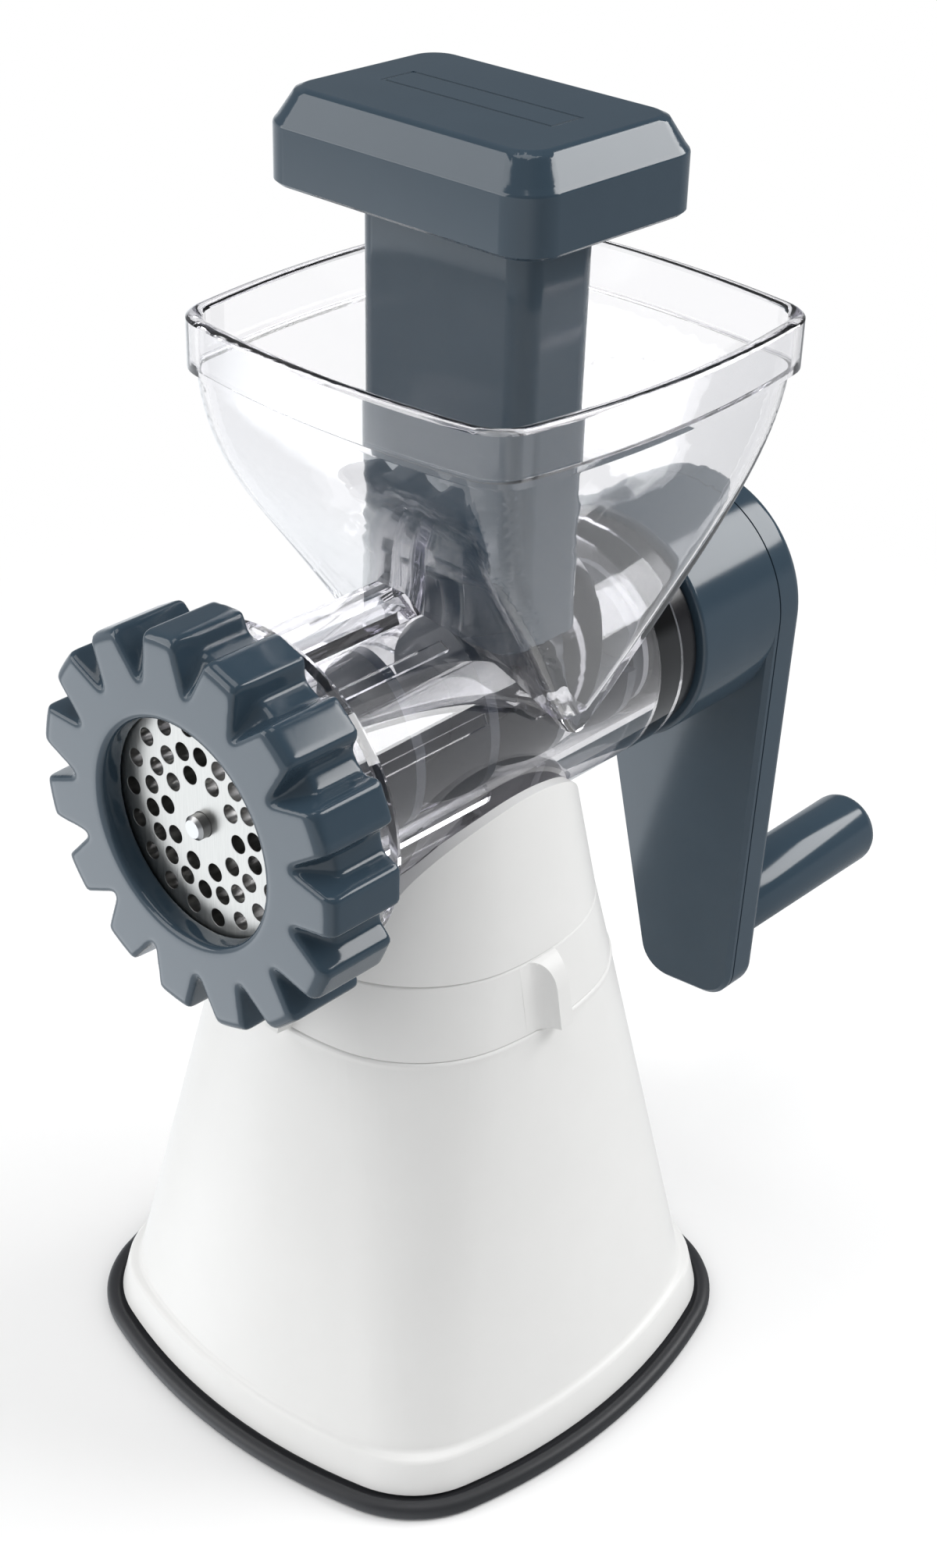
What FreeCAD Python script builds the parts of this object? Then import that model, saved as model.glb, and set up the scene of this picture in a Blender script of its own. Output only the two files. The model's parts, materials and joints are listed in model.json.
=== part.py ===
import FreeCAD, Part
import math
import os

from FreeCAD import Vector

# Hand crank meat grinder on a suction foot, in millimetres.
# +Z is up and the origin is the centre of the foot's underside, on the tower's own axis.
# The barrel runs along Y at AXIS_Z: the ring nut looks along -Y and the crank is on the +Y side.

# Fits
RUNNING_FIT = 0.06
SEAT_FIT = 0.02
SEAM_GAP = 0.2
FREE_GAP = 0.3

# Barrel axis
AXIS_Z = 184.6

# Tower: a rounded square that gets rounder as it rises
FOOT_HALF = 74.8
FOOT_SIDE_R = 160.0
FOOT_CORNER_R = 32.0
FOOT_EDGE_H = 2.0
FOOT_H = 4.0
FOOT_LIP_INSET = 3.0
FOOT_RING_W = 12.0
FOOT_UPSTAND_H = 6.0
SKIRT_INSET = 4.6
SKIRT_H = 9.2
SKIRT_DRAFT = 2.2
SHOULDER_H = 0.9
TOWER_FOOT_HALF = 66.3
TOWER_FOOT_SIDE_R = 138.0
TOWER_FOOT_CORNER_R = 28.8
TOWER_TOP_HALF = 43.3
TOWER_TOP_SIDE_R = 74.0
TOWER_TOP_CORNER_R = 37.0
CROWN_HALF = 35.9
CROWN_SIDE_R = 52.0
CROWN_CORNER_R = 32.5
TOWER_WALL = 2.8
DECK_Z = 117.8
DECK_T = 3.0
LOCK_H = 19.1
CRADLE_H = 40.6

# Suction lift under the deck
NECK_R = 22.0
NECK_BORE_R = 17.5
NECK_RISE = 1.6
GUIDE_R = 8.5
GUIDE_LEN = 20.0
SPINDLE_R = 4.0
SPINDLE_HEAD = 5.5
LIFT_TRAVEL = 6.0
LOCK_TURN_DEG = 60.0
CROSS_PIN_R = 2.5
CROSS_PIN_RISE = 6.0
SLEEVE_T = 3.6
CAM_CLEARANCE = 0.45
LOCK_WEB_T = 3.0
TAB_COUNT = 4
TAB_CREST_W = 4.4
TAB_PROUD = 4.2
TAB_RISE = 8.0
TAB_SCOOP_W = 7.4
DIAPHRAGM_T = 2.6
PULL_PLATE_R = 32.0
PULL_PLATE_T = 3.5
PULL_BOSS_R = 9.0
PULL_BOSS_H = 8.0

# Cradle
CRADLE_FLOOR_T = 3.0
CRADLE_HUMP_HALF = 33.0
CRADLE_HUMP_RISE = 20.0
CRADLE_RIB_T = 3.0
CRADLE_RIB_Y = 20.0
CRADLE_SCREW_R = 1.5
CRADLE_SCREW_LEN = 12.0
SCREW_HEAD_H = 2.2
BARREL_SCREW_R = 2.0
BARREL_SCREW_Y = 9.0
BARREL_SCREW_LEN = 12.0
BARREL_BOSS_R = 5.5

# Clear body: barrel and hopper in one moulding
BARREL_R = 31.3
BORE_R = 23.5
CHAMBER_R = 28.3
CHAMBER_RUN = 4.0
BARREL_REAR_Y = 63.0
BARREL_REAR_T = 4.0
REAR_HOLE_R = 14.0
FLANGE_R = 42.0
FLANGE_Y = -49.0
FLANGE_T = 3.2
MOUTH_R = 34.2
MOUTH_LEN = 15.2
TOP_RIB_W = 9.0
TOP_RIB_Z = 223.0
BORE_RIB_COUNT = 8
BORE_RIB_W = 2.6
BORE_RIB_H = 0.9
BORE_RIB_LEN = 52.0
HOPPER_Y = 24.0
RIM_Z = 281.0
RIM_BAND_H = 12.5
RIM_HALF_X = 55.8
RIM_HALF_Y = 58.6
RIM_SIDE_R = 250.0
RIM_CORNER_R = 12.5
RIM_STEP = 1.2
RIM_LIP = 0.9
HOPPER_WALL = 2.7
KNEE_X_Z = 270.0
KNEE_Y_Z = 254.0
KNEE_BLEND = 20.0
APEX_Z = 187.0
APEX_Y = 19.5
APEX_HALF_X = 34.5
APEX_HALF_Y = 2.6
APEX_CORNER_R = 2.2
APEX_SIDE_R = 4000.0

# Outlet: disc, ring nut and their thread
NUT_FRONT_Y = -76.3
NUT_LEN = 21.1
NUT_LIP_T = 6.9
NUT_MOUTH_R = 27.3
NUT_EDGE_R = 1.4
LOBE_COUNT = 15
LOBE_R = 48.7
VALLEY_R = 43.8
LOBE_TOP_W = 9.8
VALLEY_W = 5.2
LOBE_ROUND = 1.6
NUT_FRONT_ROUND = 2.8
NOTCH_TIP_R = 36.0
NOTCH_RUN = 7.0
THREAD_PITCH = 6.0
THREAD_H = 1.8
THREAD_BASE_W = 3.0
THREAD_CREST_W = 1.4
THREAD_TURNS = 1.4
THREAD_CLEARANCE = 0.35
THREAD_RUN_IN = 2.6
DISC_R = 31.0
DISC_T = 4.5
DISC_HOLE_R = 2.2
DISC_RINGS = ((11.8, 10, 0.0), (17.4, 18, 10.0), (23.6, 18, 0.0))
DISC_KEY_W = 4.0
DISC_KEY_H = 2.0
DISC_FIT = 0.15

# Auger, cutter and shaft
FLIGHT_R = 21.9
FLIGHT_PITCH = 25.0
FLIGHT_TIP_W = 3.0
FLIGHT_ROOT_W = 6.0
CORE_FRONT_R = 13.0
CORE_REAR_R = 8.6
COLLAR_R = 20.0
COLLAR_T = 4.0
JOURNAL_R = 11.0
WASHER_T = 2.0
BUSH_R = 29.8
BUSH_T = 7.6
STUD_SIDE = 8.0
STUD_SEAT = 13.0
PIN_R = 3.0
PIN_PROUD = 3.1
PIN_TIP = 0.8
CUTTER_T = 5.0
CUTTER_R = 26.0
CUTTER_ARMS = 4
CUTTER_ARM_W = 10.0
CUTTER_HUB_R = 10.0
CUTTER_GAP = 0.2
SHAFT_SIDE = 10.0
SHAFT_SEAT = 20.0

# Crank and handle
HUB_R = 32.0
HUB_GAP = 0.5
HUB_LEN = 29.0
ARM_T = 6.0
ARM_LEN = 107.0
ARM_CORNER_R = 10.0
ARM_CORNER_X = 6.4
ARM_CORNER_DROP = 115.4
ARM_REST_DEG = -6.0
COVER_T = 6.0
COVER_ROUND = 2.0
CRANK_WALL = 2.6
HUB_ROUND = 1.2
HUB_BOSS_R = 12.0
GRIP_BOSS_R = 9.0
CRANK_SCREW_R = 2.5
CRANK_SCREW_LEN = 20.0
CRANK_SCREW_HEAD_R = 5.5
CRANK_SCREW_HEAD_H = 2.6
GRIP_R = 10.8
GRIP_END_R = 11.2
GRIP_LEN = 71.0
GRIP_GAP = 0.5
GRIP_DOME = 5.0
GRIP_CAP_LEN = 9.0
GRIP_SCREW_R = 4.0
GRIP_THREAD_R = 3.0
GRIP_SEAT_LEN = 46.0
GRIP_HEAD_R = 7.0
GRIP_HEAD_H = 4.6

# Pusher
PUSHER_Y = 16.0
STEM_W = 52.0
STEM_D = 25.0
STEM_DRAFT = 1.0
STEM_CORNER_R = 6.0
STEM_WALL = 2.5
STEM_FOOT_RISE = 24.9
STEM_TOP_Z = 309.6
CAP_W = 81.0
CAP_D = 56.4
CAP_CORNER_R = 9.0
CAP_SIDE_H = 14.2
CAP_TOP_H = 6.8
CAP_TOP_INSET = 4.8
CAP_WALL = 3.0

PARTS = "parts"
X_AXIS = Vector(1, 0, 0)
Y_AXIS = Vector(0, 1, 0)
Z_AXIS = Vector(0, 0, 1)

# Heights and stations that follow from the sizes above
lock_z0 = DECK_Z + SEAM_GAP
lock_z1 = DECK_Z + LOCK_H - SEAM_GAP
cradle_z0 = DECK_Z + LOCK_H
cradle_z1 = cradle_z0 + CRADLE_H
neck_z1 = cradle_z0 + NECK_RISE
cradle_floor_z1 = neck_z1 + CRADLE_FLOOR_T
skirt_z1 = FOOT_H + SKIRT_H
tower_z0 = skirt_z1 + SHOULDER_H
cross_pin_z = lock_z0 + CROSS_PIN_RISE
sleeve_r = NECK_R + RUNNING_FIT + SLEEVE_T
barrel_screw_places = (-BARREL_SCREW_Y, BARREL_SCREW_Y)

nut_back_y = NUT_FRONT_Y + NUT_LEN
disc_front_y = NUT_FRONT_Y + NUT_LIP_T
disc_back_y = disc_front_y + DISC_T
flange_front_y = FLANGE_Y - FLANGE_T
mouth_y = flange_front_y - MOUTH_LEN
cutter_front_y = disc_back_y + CUTTER_GAP
cutter_back_y = cutter_front_y + CUTTER_T
bore_rear_y = BARREL_REAR_Y - BARREL_REAR_T
collar_rear_y = bore_rear_y - WASHER_T
bush_rear_y = BARREL_REAR_Y + BUSH_T
hub_front_y = bush_rear_y + HUB_GAP
arm_front_y = hub_front_y + HUB_LEN
cover_y = arm_front_y + ARM_T
crank_rear_y = cover_y + COVER_T
journal_rear_y = bush_rear_y
grip_y0 = crank_rear_y + GRIP_GAP
grip_y1 = grip_y0 + GRIP_LEN
stem_z0 = AXIS_Z + STEM_FOOT_RISE


def at_axis(x, y, z):
    """A point given from the barrel axis."""
    return Vector(x, y, AXIS_Z + z)


def cylinder_y(radius, y0, y1, x=0.0, z=AXIS_Z):
    return Part.makeCylinder(radius, y1 - y0, Vector(x, y0, z), Y_AXIS)


def cone_y(radius0, radius1, y0, y1):
    return Part.makeCone(radius0, radius1, y1 - y0, at_axis(0, y0, 0), Y_AXIS)


def cylinder_z(radius, z0, z1, x=0.0, y=0.0):
    return Part.makeCylinder(radius, z1 - z0, Vector(x, y, z0), Z_AXIS)


def box(x0, x1, y0, y1, z0, z1):
    return Part.makeBox(x1 - x0, y1 - y0, z1 - z0, Vector(x0, y0, z0))


def square_bar(side, y0, y1):
    half = side / 2
    return box(-half, half, y0, y1, AXIS_Z - half, AXIS_Z + half)


def solid_of(shape):
    """The single solid left by a chain of fuses and cuts, with its split faces joined."""
    clean = shape.removeSplitter()
    return clean.Solids[0] if len(clean.Solids) == 1 else clean


def bowed_rect(half_x, half_y, side_r, corner_r, z, y_mid=0.0):
    """A rounded rectangle whose four sides bulge: eight tangent arcs."""
    side_x = half_x - side_r
    side_y = half_y - side_r
    corner_x = half_x - corner_r
    corner_y = half_y - corner_r
    reach = side_r - corner_r
    for _ in range(40):
        corner_x = side_x + math.sqrt(reach ** 2 - corner_y ** 2)
        corner_y = side_y + math.sqrt(reach ** 2 - corner_x ** 2)
    angle_a = math.atan2(corner_y, corner_x - side_x)
    angle_b = math.atan2(corner_y - side_y, corner_x)
    angle_m = (angle_a + angle_b) / 2
    join_a = (corner_x + corner_r * math.cos(angle_a), corner_y + corner_r * math.sin(angle_a))
    join_b = (corner_x + corner_r * math.cos(angle_b), corner_y + corner_r * math.sin(angle_b))
    middle = (corner_x + corner_r * math.cos(angle_m), corner_y + corner_r * math.sin(angle_m))

    def place(point, sign_x, sign_y):
        return Vector(point[0] * sign_x, point[1] * sign_y + y_mid, z)

    def arc(first, through, last):
        return Part.Arc(first, through, last).toShape()

    right, top = (half_x, 0.0), (0.0, half_y)
    return Part.Wire([
        arc(place(join_a, 1, -1), place(right, 1, 1), place(join_a, 1, 1)),
        arc(place(join_a, 1, 1), place(middle, 1, 1), place(join_b, 1, 1)),
        arc(place(join_b, 1, 1), place(top, 1, 1), place(join_b, -1, 1)),
        arc(place(join_b, -1, 1), place(middle, -1, 1), place(join_a, -1, 1)),
        arc(place(join_a, -1, 1), place(right, -1, 1), place(join_a, -1, -1)),
        arc(place(join_a, -1, -1), place(middle, -1, -1), place(join_b, -1, -1)),
        arc(place(join_b, -1, -1), place(top, 1, -1), place(join_b, 1, -1)),
        arc(place(join_b, 1, -1), place(middle, 1, -1), place(join_a, 1, -1)),
    ])


def round_rect(width, depth, corner_r, z, y_mid=0.0):
    """A rectangle with straight sides and round corners."""
    flat_x, flat_y = width / 2 - corner_r, depth / 2 - corner_r
    diagonal = corner_r * math.sqrt(0.5)
    edges = []
    corners = ((1, 1), (-1, 1), (-1, -1), (1, -1))
    for index, (sx, sy) in enumerate(corners):
        nx, ny = corners[(index + 1) % 4]
        on_x = Vector(sx * width / 2, sy * flat_y + y_mid, z)
        on_y = Vector(sx * flat_x, sy * depth / 2 + y_mid, z)
        mid = Vector(sx * (flat_x + diagonal), sy * (flat_y + diagonal) + y_mid, z)
        next_x = Vector(nx * width / 2, ny * flat_y + y_mid, z)
        next_y = Vector(nx * flat_x, ny * depth / 2 + y_mid, z)
        if sx == sy:
            edges.append(Part.Arc(on_x, mid, on_y).toShape())
            edges.append(Part.makeLine(on_y, next_y))
        else:
            edges.append(Part.Arc(on_y, mid, on_x).toShape())
            edges.append(Part.makeLine(on_x, next_x))
    return Part.Wire(edges)


def loft(wires, ruled=True):
    return Part.makeLoft(wires, True, ruled)


def prism_y(wire, y0, y1):
    """A wire drawn in the plane y = 0, as a solid between two stations."""
    face = Part.Face(wire)
    face.translate(Vector(0, y0, 0))
    return face.extrude(Vector(0, y1 - y0, 0))


def helix_ridge(points, pitch, turns, y_start, left_handed=False):
    """A ridge of the given section, points as (radius, along), winding from y_start towards -Y."""
    helix = Part.makeHelix(pitch, pitch * turns, points[0][0])
    corners = [Vector(radius, 0, along) for radius, along in points]
    section = Part.makePolygon(corners + corners[:1])
    ridge = Part.Wire(helix.Edges).makePipeShell([section], True, True)
    if left_handed:
        ridge = ridge.mirror(Vector(0, 0, 0), Y_AXIS)
    ridge.rotate(Vector(0, 0, 0), X_AXIS, 90)
    ridge.translate(at_axis(0, y_start, 0))
    return ridge


def tower_section(z, inset=0.0):
    """The tower's rounded square at a height, or a parallel one inside it."""
    stations = (
        (tower_z0, TOWER_FOOT_HALF, TOWER_FOOT_SIDE_R, TOWER_FOOT_CORNER_R),
        (cradle_z0, TOWER_TOP_HALF, TOWER_TOP_SIDE_R, TOWER_TOP_CORNER_R),
        (cradle_z1, CROWN_HALF, CROWN_SIDE_R, CROWN_CORNER_R),
    )
    low, high = stations[:2] if z <= cradle_z0 else stations[1:]
    share = (z - low[0]) / (high[0] - low[0])
    half, side_r, corner_r = [a + (b - a) * share for a, b in zip(low[1:], high[1:])]
    return bowed_rect(half - inset, half - inset, side_r - inset, corner_r - inset, z)


def foot_section(z, inset):
    half = FOOT_HALF - inset
    return bowed_rect(half, half, FOOT_SIDE_R - inset, FOOT_CORNER_R - inset, z)


def make_foot_seal():
    """Rubber rim: a sloping outer lip with an upstand that grips the inside of the skirt."""
    lip = loft([foot_section(0, 0), foot_section(FOOT_EDGE_H, 0), foot_section(FOOT_H, FOOT_LIP_INSET)])
    upstand_inset = SKIRT_INSET + TOWER_WALL + SEAT_FIT
    upstand_z = FOOT_H + FOOT_UPSTAND_H
    upstand_draft = SKIRT_DRAFT * FOOT_UPSTAND_H / SKIRT_H
    upstand_top = foot_section(upstand_z, upstand_inset + upstand_draft)
    upstand = loft([foot_section(FOOT_H, upstand_inset), upstand_top])
    hollow = loft([foot_section(0, FOOT_RING_W), foot_section(upstand_z, FOOT_RING_W)])
    return solid_of(lip.fuse(upstand).cut(hollow))


def make_base_shell():
    """Lower tower: skirt, tapered wall, deck, the neck above it and the spindle guide below it."""
    skirt_top_inset = SKIRT_INSET + SKIRT_DRAFT
    outer = loft([foot_section(FOOT_H, SKIRT_INSET), foot_section(skirt_z1, skirt_top_inset)])
    shoulder = loft([foot_section(skirt_z1, skirt_top_inset), tower_section(tower_z0)])
    wall = loft([tower_section(tower_z0), tower_section(DECK_Z)])
    inset = SKIRT_INSET + TOWER_WALL
    skirt_room = loft([foot_section(FOOT_H, inset), foot_section(skirt_z1, inset + SKIRT_DRAFT)])
    shoulder_room = loft([foot_section(skirt_z1, inset + SKIRT_DRAFT), tower_section(tower_z0, TOWER_WALL)])
    deck_z0 = DECK_Z - DECK_T
    wall_room = loft([tower_section(tower_z0, TOWER_WALL), tower_section(deck_z0, TOWER_WALL)])
    shell = outer.fuse([shoulder, wall]).cut([skirt_room, shoulder_room, wall_room])
    neck = cylinder_z(NECK_R, DECK_Z, neck_z1).cut(cylinder_z(NECK_BORE_R, DECK_Z, neck_z1))
    guide = cylinder_z(GUIDE_R, DECK_Z - GUIDE_LEN, deck_z0)
    shell = shell.fuse([neck, guide])
    guide_bore = cylinder_z(SPINDLE_R + RUNNING_FIT, DECK_Z - GUIDE_LEN, DECK_Z)
    slot_half = CROSS_PIN_R + FREE_GAP
    slot_z0 = cross_pin_z - slot_half
    slot_z1 = cross_pin_z + LIFT_TRAVEL + slot_half
    slot = box(-NECK_R - 1, NECK_R + 1, -slot_half, slot_half, slot_z0, slot_z1)
    pilots = [cylinder_z(CRADLE_SCREW_R + SEAT_FIT, neck_z1 - CRADLE_SCREW_LEN, neck_z1, x, y)
              for x, y in cradle_screw_places()]
    return solid_of(shell.cut([guide_bore, slot] + pilots))


def cradle_screw_places():
    """Four places in the middle of the neck's wall, clear of the slots."""
    radius = (NECK_R + NECK_BORE_R) / 2
    angles = [math.radians(45 + 90 * index) for index in range(4)]
    return [(radius * math.cos(angle), radius * math.sin(angle)) for angle in angles]


def make_diaphragm():
    """Rubber membrane that fills the ring of the foot."""
    inset = FOOT_RING_W
    return loft([foot_section(0, inset), foot_section(DIAPHRAGM_T, inset)])


def make_pull_plate():
    """Plate moulded to the membrane's top, with a boss that holds the spindle."""
    top_z = DIAPHRAGM_T + PULL_PLATE_T
    plate = cylinder_z(PULL_PLATE_R, DIAPHRAGM_T, top_z)
    boss = Part.makeCone(PULL_BOSS_R + 3, PULL_BOSS_R, PULL_BOSS_H, Vector(0, 0, top_z), Z_AXIS)
    socket = cylinder_z(SPINDLE_R + SEAT_FIT, top_z, top_z + PULL_BOSS_H)
    return solid_of(plate.fuse(boss).cut(socket))


def make_spindle():
    """Steel rod from the pull plate up into the neck, drilled for the cross pin."""
    foot_z = DIAPHRAGM_T + PULL_PLATE_T
    rod = cylinder_z(SPINDLE_R, foot_z, cross_pin_z + SPINDLE_HEAD)
    start = Vector(-sleeve_r, 0, cross_pin_z)
    hole = Part.makeCylinder(CROSS_PIN_R + SEAT_FIT, 2 * sleeve_r, start, X_AXIS)
    return solid_of(rod.cut(hole))


def make_cross_pin():
    """Pin through the spindle whose ends ride in the lock ring's cam slots."""
    return Part.makeCylinder(CROSS_PIN_R, 2 * sleeve_r, Vector(-sleeve_r, 0, cross_pin_z), X_AXIS)


def make_lock_ring():
    """Turning band with grip tabs, running on the neck, with two rising cam slots in its sleeve."""
    shell = loft([tower_section(lock_z0), tower_section(lock_z1)])
    hollow = loft([tower_section(lock_z0, TOWER_WALL), tower_section(lock_z1, TOWER_WALL)])
    web_inset = TOWER_WALL / 2
    web = loft([tower_section(lock_z0, web_inset), tower_section(lock_z0 + LOCK_WEB_T, web_inset)])
    ring = shell.cut(hollow).fuse([web, cylinder_z(sleeve_r, lock_z0, lock_z1)])
    for index in range(TAB_COUNT):
        ring = ring.fuse(make_tab(360.0 / TAB_COUNT * index))
    ring = ring.cut(cylinder_z(NECK_R + RUNNING_FIT, lock_z0, lock_z1))
    for tool in make_cam_slot(0.0) + make_cam_slot(180.0):
        ring = ring.cut(tool)
    return solid_of(ring)


def tower_half(z):
    """Half the tower's width across its sides, below the cradle."""
    return TOWER_FOOT_HALF + (TOWER_TOP_HALF - TOWER_FOOT_HALF) * (z - tower_z0) / (cradle_z0 - tower_z0)


def make_tab(angle):
    """Grip tab on one side of the band: a finger scoop, a crest and a steep back, fading out at the top."""
    root = 0.4
    back = TAB_CREST_W * 0.7
    front = back - TAB_CREST_W

    def plan(z):
        wall, crest = tower_half(z), tower_half(z) + TAB_PROUD
        foot = Vector(wall - root, front - TAB_SCOOP_W, z)
        scoop = Vector(wall + TAB_PROUD * 0.22, front - TAB_SCOOP_W * 0.3, z)
        nose = Vector(crest, front, z)
        heel = Vector(crest, back, z)
        rear = Vector(wall - root, back + 0.6, z)
        inner_rear = Vector(wall - TOWER_WALL / 2, back + 0.6, z)
        inner_foot = Vector(wall - TOWER_WALL / 2, front - TAB_SCOOP_W, z)
        points = (nose, heel, rear, inner_rear, inner_foot, foot)
        sides = [Part.makeLine(a, b) for a, b in zip(points, points[1:])]
        return Part.Wire([Part.Arc(foot, scoop, nose).toShape()] + sides)

    wide = 2 * TAB_SCOOP_W
    rise_z, top_z = lock_z1 - TAB_RISE, lock_z1 - root
    low = Vector(tower_half(lock_z0) + TAB_PROUD, -wide, lock_z0)
    bend = Vector(tower_half(rise_z) + TAB_PROUD, -wide, rise_z)
    over = Vector(tower_half(lock_z1) + TAB_PROUD * 0.75, -wide, top_z - TAB_RISE * 0.3)
    top = Vector(tower_half(lock_z1), -wide, top_z)
    inner = tower_half(lock_z1) - 2 * TOWER_WALL
    inner_top, inner_low = Vector(inner, -wide, top_z), Vector(inner, -wide, lock_z0)
    side = Part.Wire([
        Part.makeLine(low, bend),
        Part.Arc(bend, over, top).toShape(),
        Part.makeLine(top, inner_top),
        Part.makeLine(inner_top, inner_low),
        Part.makeLine(inner_low, low),
    ])
    tab = loft([plan(lock_z0), plan(lock_z1)]).common(Part.Face(side).extrude(Vector(0, 2 * wide, 0)))
    tab.rotate(Vector(0, 0, 0), Z_AXIS, angle)
    return tab


def make_cam_slot(angle):
    """Cutters for a slot in the sleeve: its rising run, then its two round ends."""
    half = CROSS_PIN_R + CAM_CLEARANCE
    pitch = LIFT_TRAVEL * 360.0 / LOCK_TURN_DEG
    inner, outer = NECK_R - 1, sleeve_r + 1
    helix = Part.makeHelix(pitch, LIFT_TRAVEL, inner)
    corners = [Vector(x, 0, z) for x, z in ((inner, -half), (outer, -half), (outer, half), (inner, half))]
    section = Part.makePolygon(corners + corners[:1])
    slot = Part.Wire(helix.Edges).makePipeShell([section], True, True)
    turn = math.radians(LOCK_TURN_DEG)
    start = Part.makeCylinder(half, outer - inner, Vector(inner, 0, 0), X_AXIS)
    along = Vector(math.cos(turn), math.sin(turn), 0)
    end_point = along * inner + Vector(0, 0, LIFT_TRAVEL)
    end = Part.makeCylinder(half, outer - inner, end_point, along)
    tools = []
    for tool in (slot, start, end):
        tool = tool.mirror(Vector(0, 0, 0), Y_AXIS)
        tool.rotate(Vector(0, 0, 0), Z_AXIS, angle)
        tool.translate(Vector(0, 0, cross_pin_z))
        tools.append(tool)
    return tools


def make_cradle():
    """Upper tower: a saddle for the barrel with a rounded tongue on each side."""
    outer = loft([tower_section(cradle_z0), tower_section(cradle_z1)])
    hollow = loft([tower_section(cradle_floor_z1, TOWER_WALL), tower_section(cradle_z1, TOWER_WALL)])
    recess = loft([tower_section(cradle_z0, TOWER_WALL), tower_section(neck_z1, TOWER_WALL)])
    ribs = [box(-BARREL_R, BARREL_R, side * CRADLE_RIB_Y - CRADLE_RIB_T / 2,
                side * CRADLE_RIB_Y + CRADLE_RIB_T / 2, cradle_floor_z1, AXIS_Z - BARREL_R / 2)
            for side in (-1, 1)]
    ribs = [rib.common(outer) for rib in ribs]
    shell = outer.cut([hollow, recess]).fuse(ribs)
    side_z = cradle_z1 - CRADLE_HUMP_RISE
    left = Vector(-2 * BARREL_R, -CRADLE_HUMP_HALF, side_z)
    right = Vector(-2 * BARREL_R, CRADLE_HUMP_HALF, side_z)
    crest = Vector(-2 * BARREL_R, 0, cradle_z1)
    wide = 2 * BARREL_R
    hump = Part.Wire([
        Part.Arc(left, crest, right).toShape(),
        Part.makeLine(right, Vector(-wide, wide, side_z)),
        Part.makeLine(Vector(-wide, wide, side_z), Vector(-wide, wide, cradle_z0)),
        Part.makeLine(Vector(-wide, wide, cradle_z0), Vector(-wide, -wide, cradle_z0)),
        Part.makeLine(Vector(-wide, -wide, cradle_z0), Vector(-wide, -wide, side_z)),
        Part.makeLine(Vector(-wide, -wide, side_z), left),
    ])
    keep = Part.Face(hump).extrude(Vector(2 * wide, 0, 0))
    saddle = cylinder_y(BARREL_R + DISC_FIT, -wide, wide)
    screw_holes = [cylinder_z(CRADLE_SCREW_R + SEAT_FIT, neck_z1, cradle_floor_z1, x, y)
                   for x, y in cradle_screw_places()]
    screw_holes += [cylinder_z(BARREL_SCREW_R + SEAT_FIT, neck_z1, cradle_floor_z1, 0, y)
                    for y in barrel_screw_places]
    return solid_of(shell.common(keep).cut([saddle] + screw_holes))


def make_screw(radius, length, head_r, head_h, x, y, seat_z, head_up):
    """Pan-head screw standing on Z: its head sits on seat_z and its shank goes the other way."""
    sign = 1 if head_up else -1
    head = Part.makeCone(head_r, head_r * 0.8, head_h, Vector(x, y, seat_z), Vector(0, 0, sign))
    shank = Part.makeCylinder(radius, length, Vector(x, y, seat_z), Vector(0, 0, -sign))
    wide, thin = head_r * 0.55, head_r * 0.15
    top_z = seat_z + sign * head_h
    depth = head_h * 0.5
    low_z = min(top_z, top_z - sign * depth)
    cross = [box(x - a, x + a, y - b, y + b, low_z, low_z + depth) for a, b in ((wide, thin), (thin, wide))]
    return solid_of(head.fuse(shank).cut(cross))


def make_cradle_screws():
    length = CRADLE_FLOOR_T + CRADLE_SCREW_LEN - 1
    return Part.makeCompound([
        make_screw(CRADLE_SCREW_R, length, 2 * CRADLE_SCREW_R, SCREW_HEAD_H, x, y, cradle_floor_z1, True)
        for x, y in cradle_screw_places()])


def make_barrel_screws():
    length = CRADLE_FLOOR_T + BARREL_SCREW_LEN - 2
    return Part.makeCompound([
        make_screw(BARREL_SCREW_R, length, 2 * BARREL_SCREW_R, SCREW_HEAD_H, 0, y, neck_z1, False)
        for y in barrel_screw_places])


def knee(z, top, slope_z, low, low_z):
    """Half-width of a hopper wall: upright at the top, then a round bend into a straight slope."""
    slope = (top - low) / (slope_z - low_z)
    upper, lower = slope_z + KNEE_BLEND, slope_z - KNEE_BLEND
    if z >= upper:
        return top
    if z <= lower:
        return low + slope * (z - low_z)
    return top - slope * (upper - z) ** 2 / (2 * (upper - lower))


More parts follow.
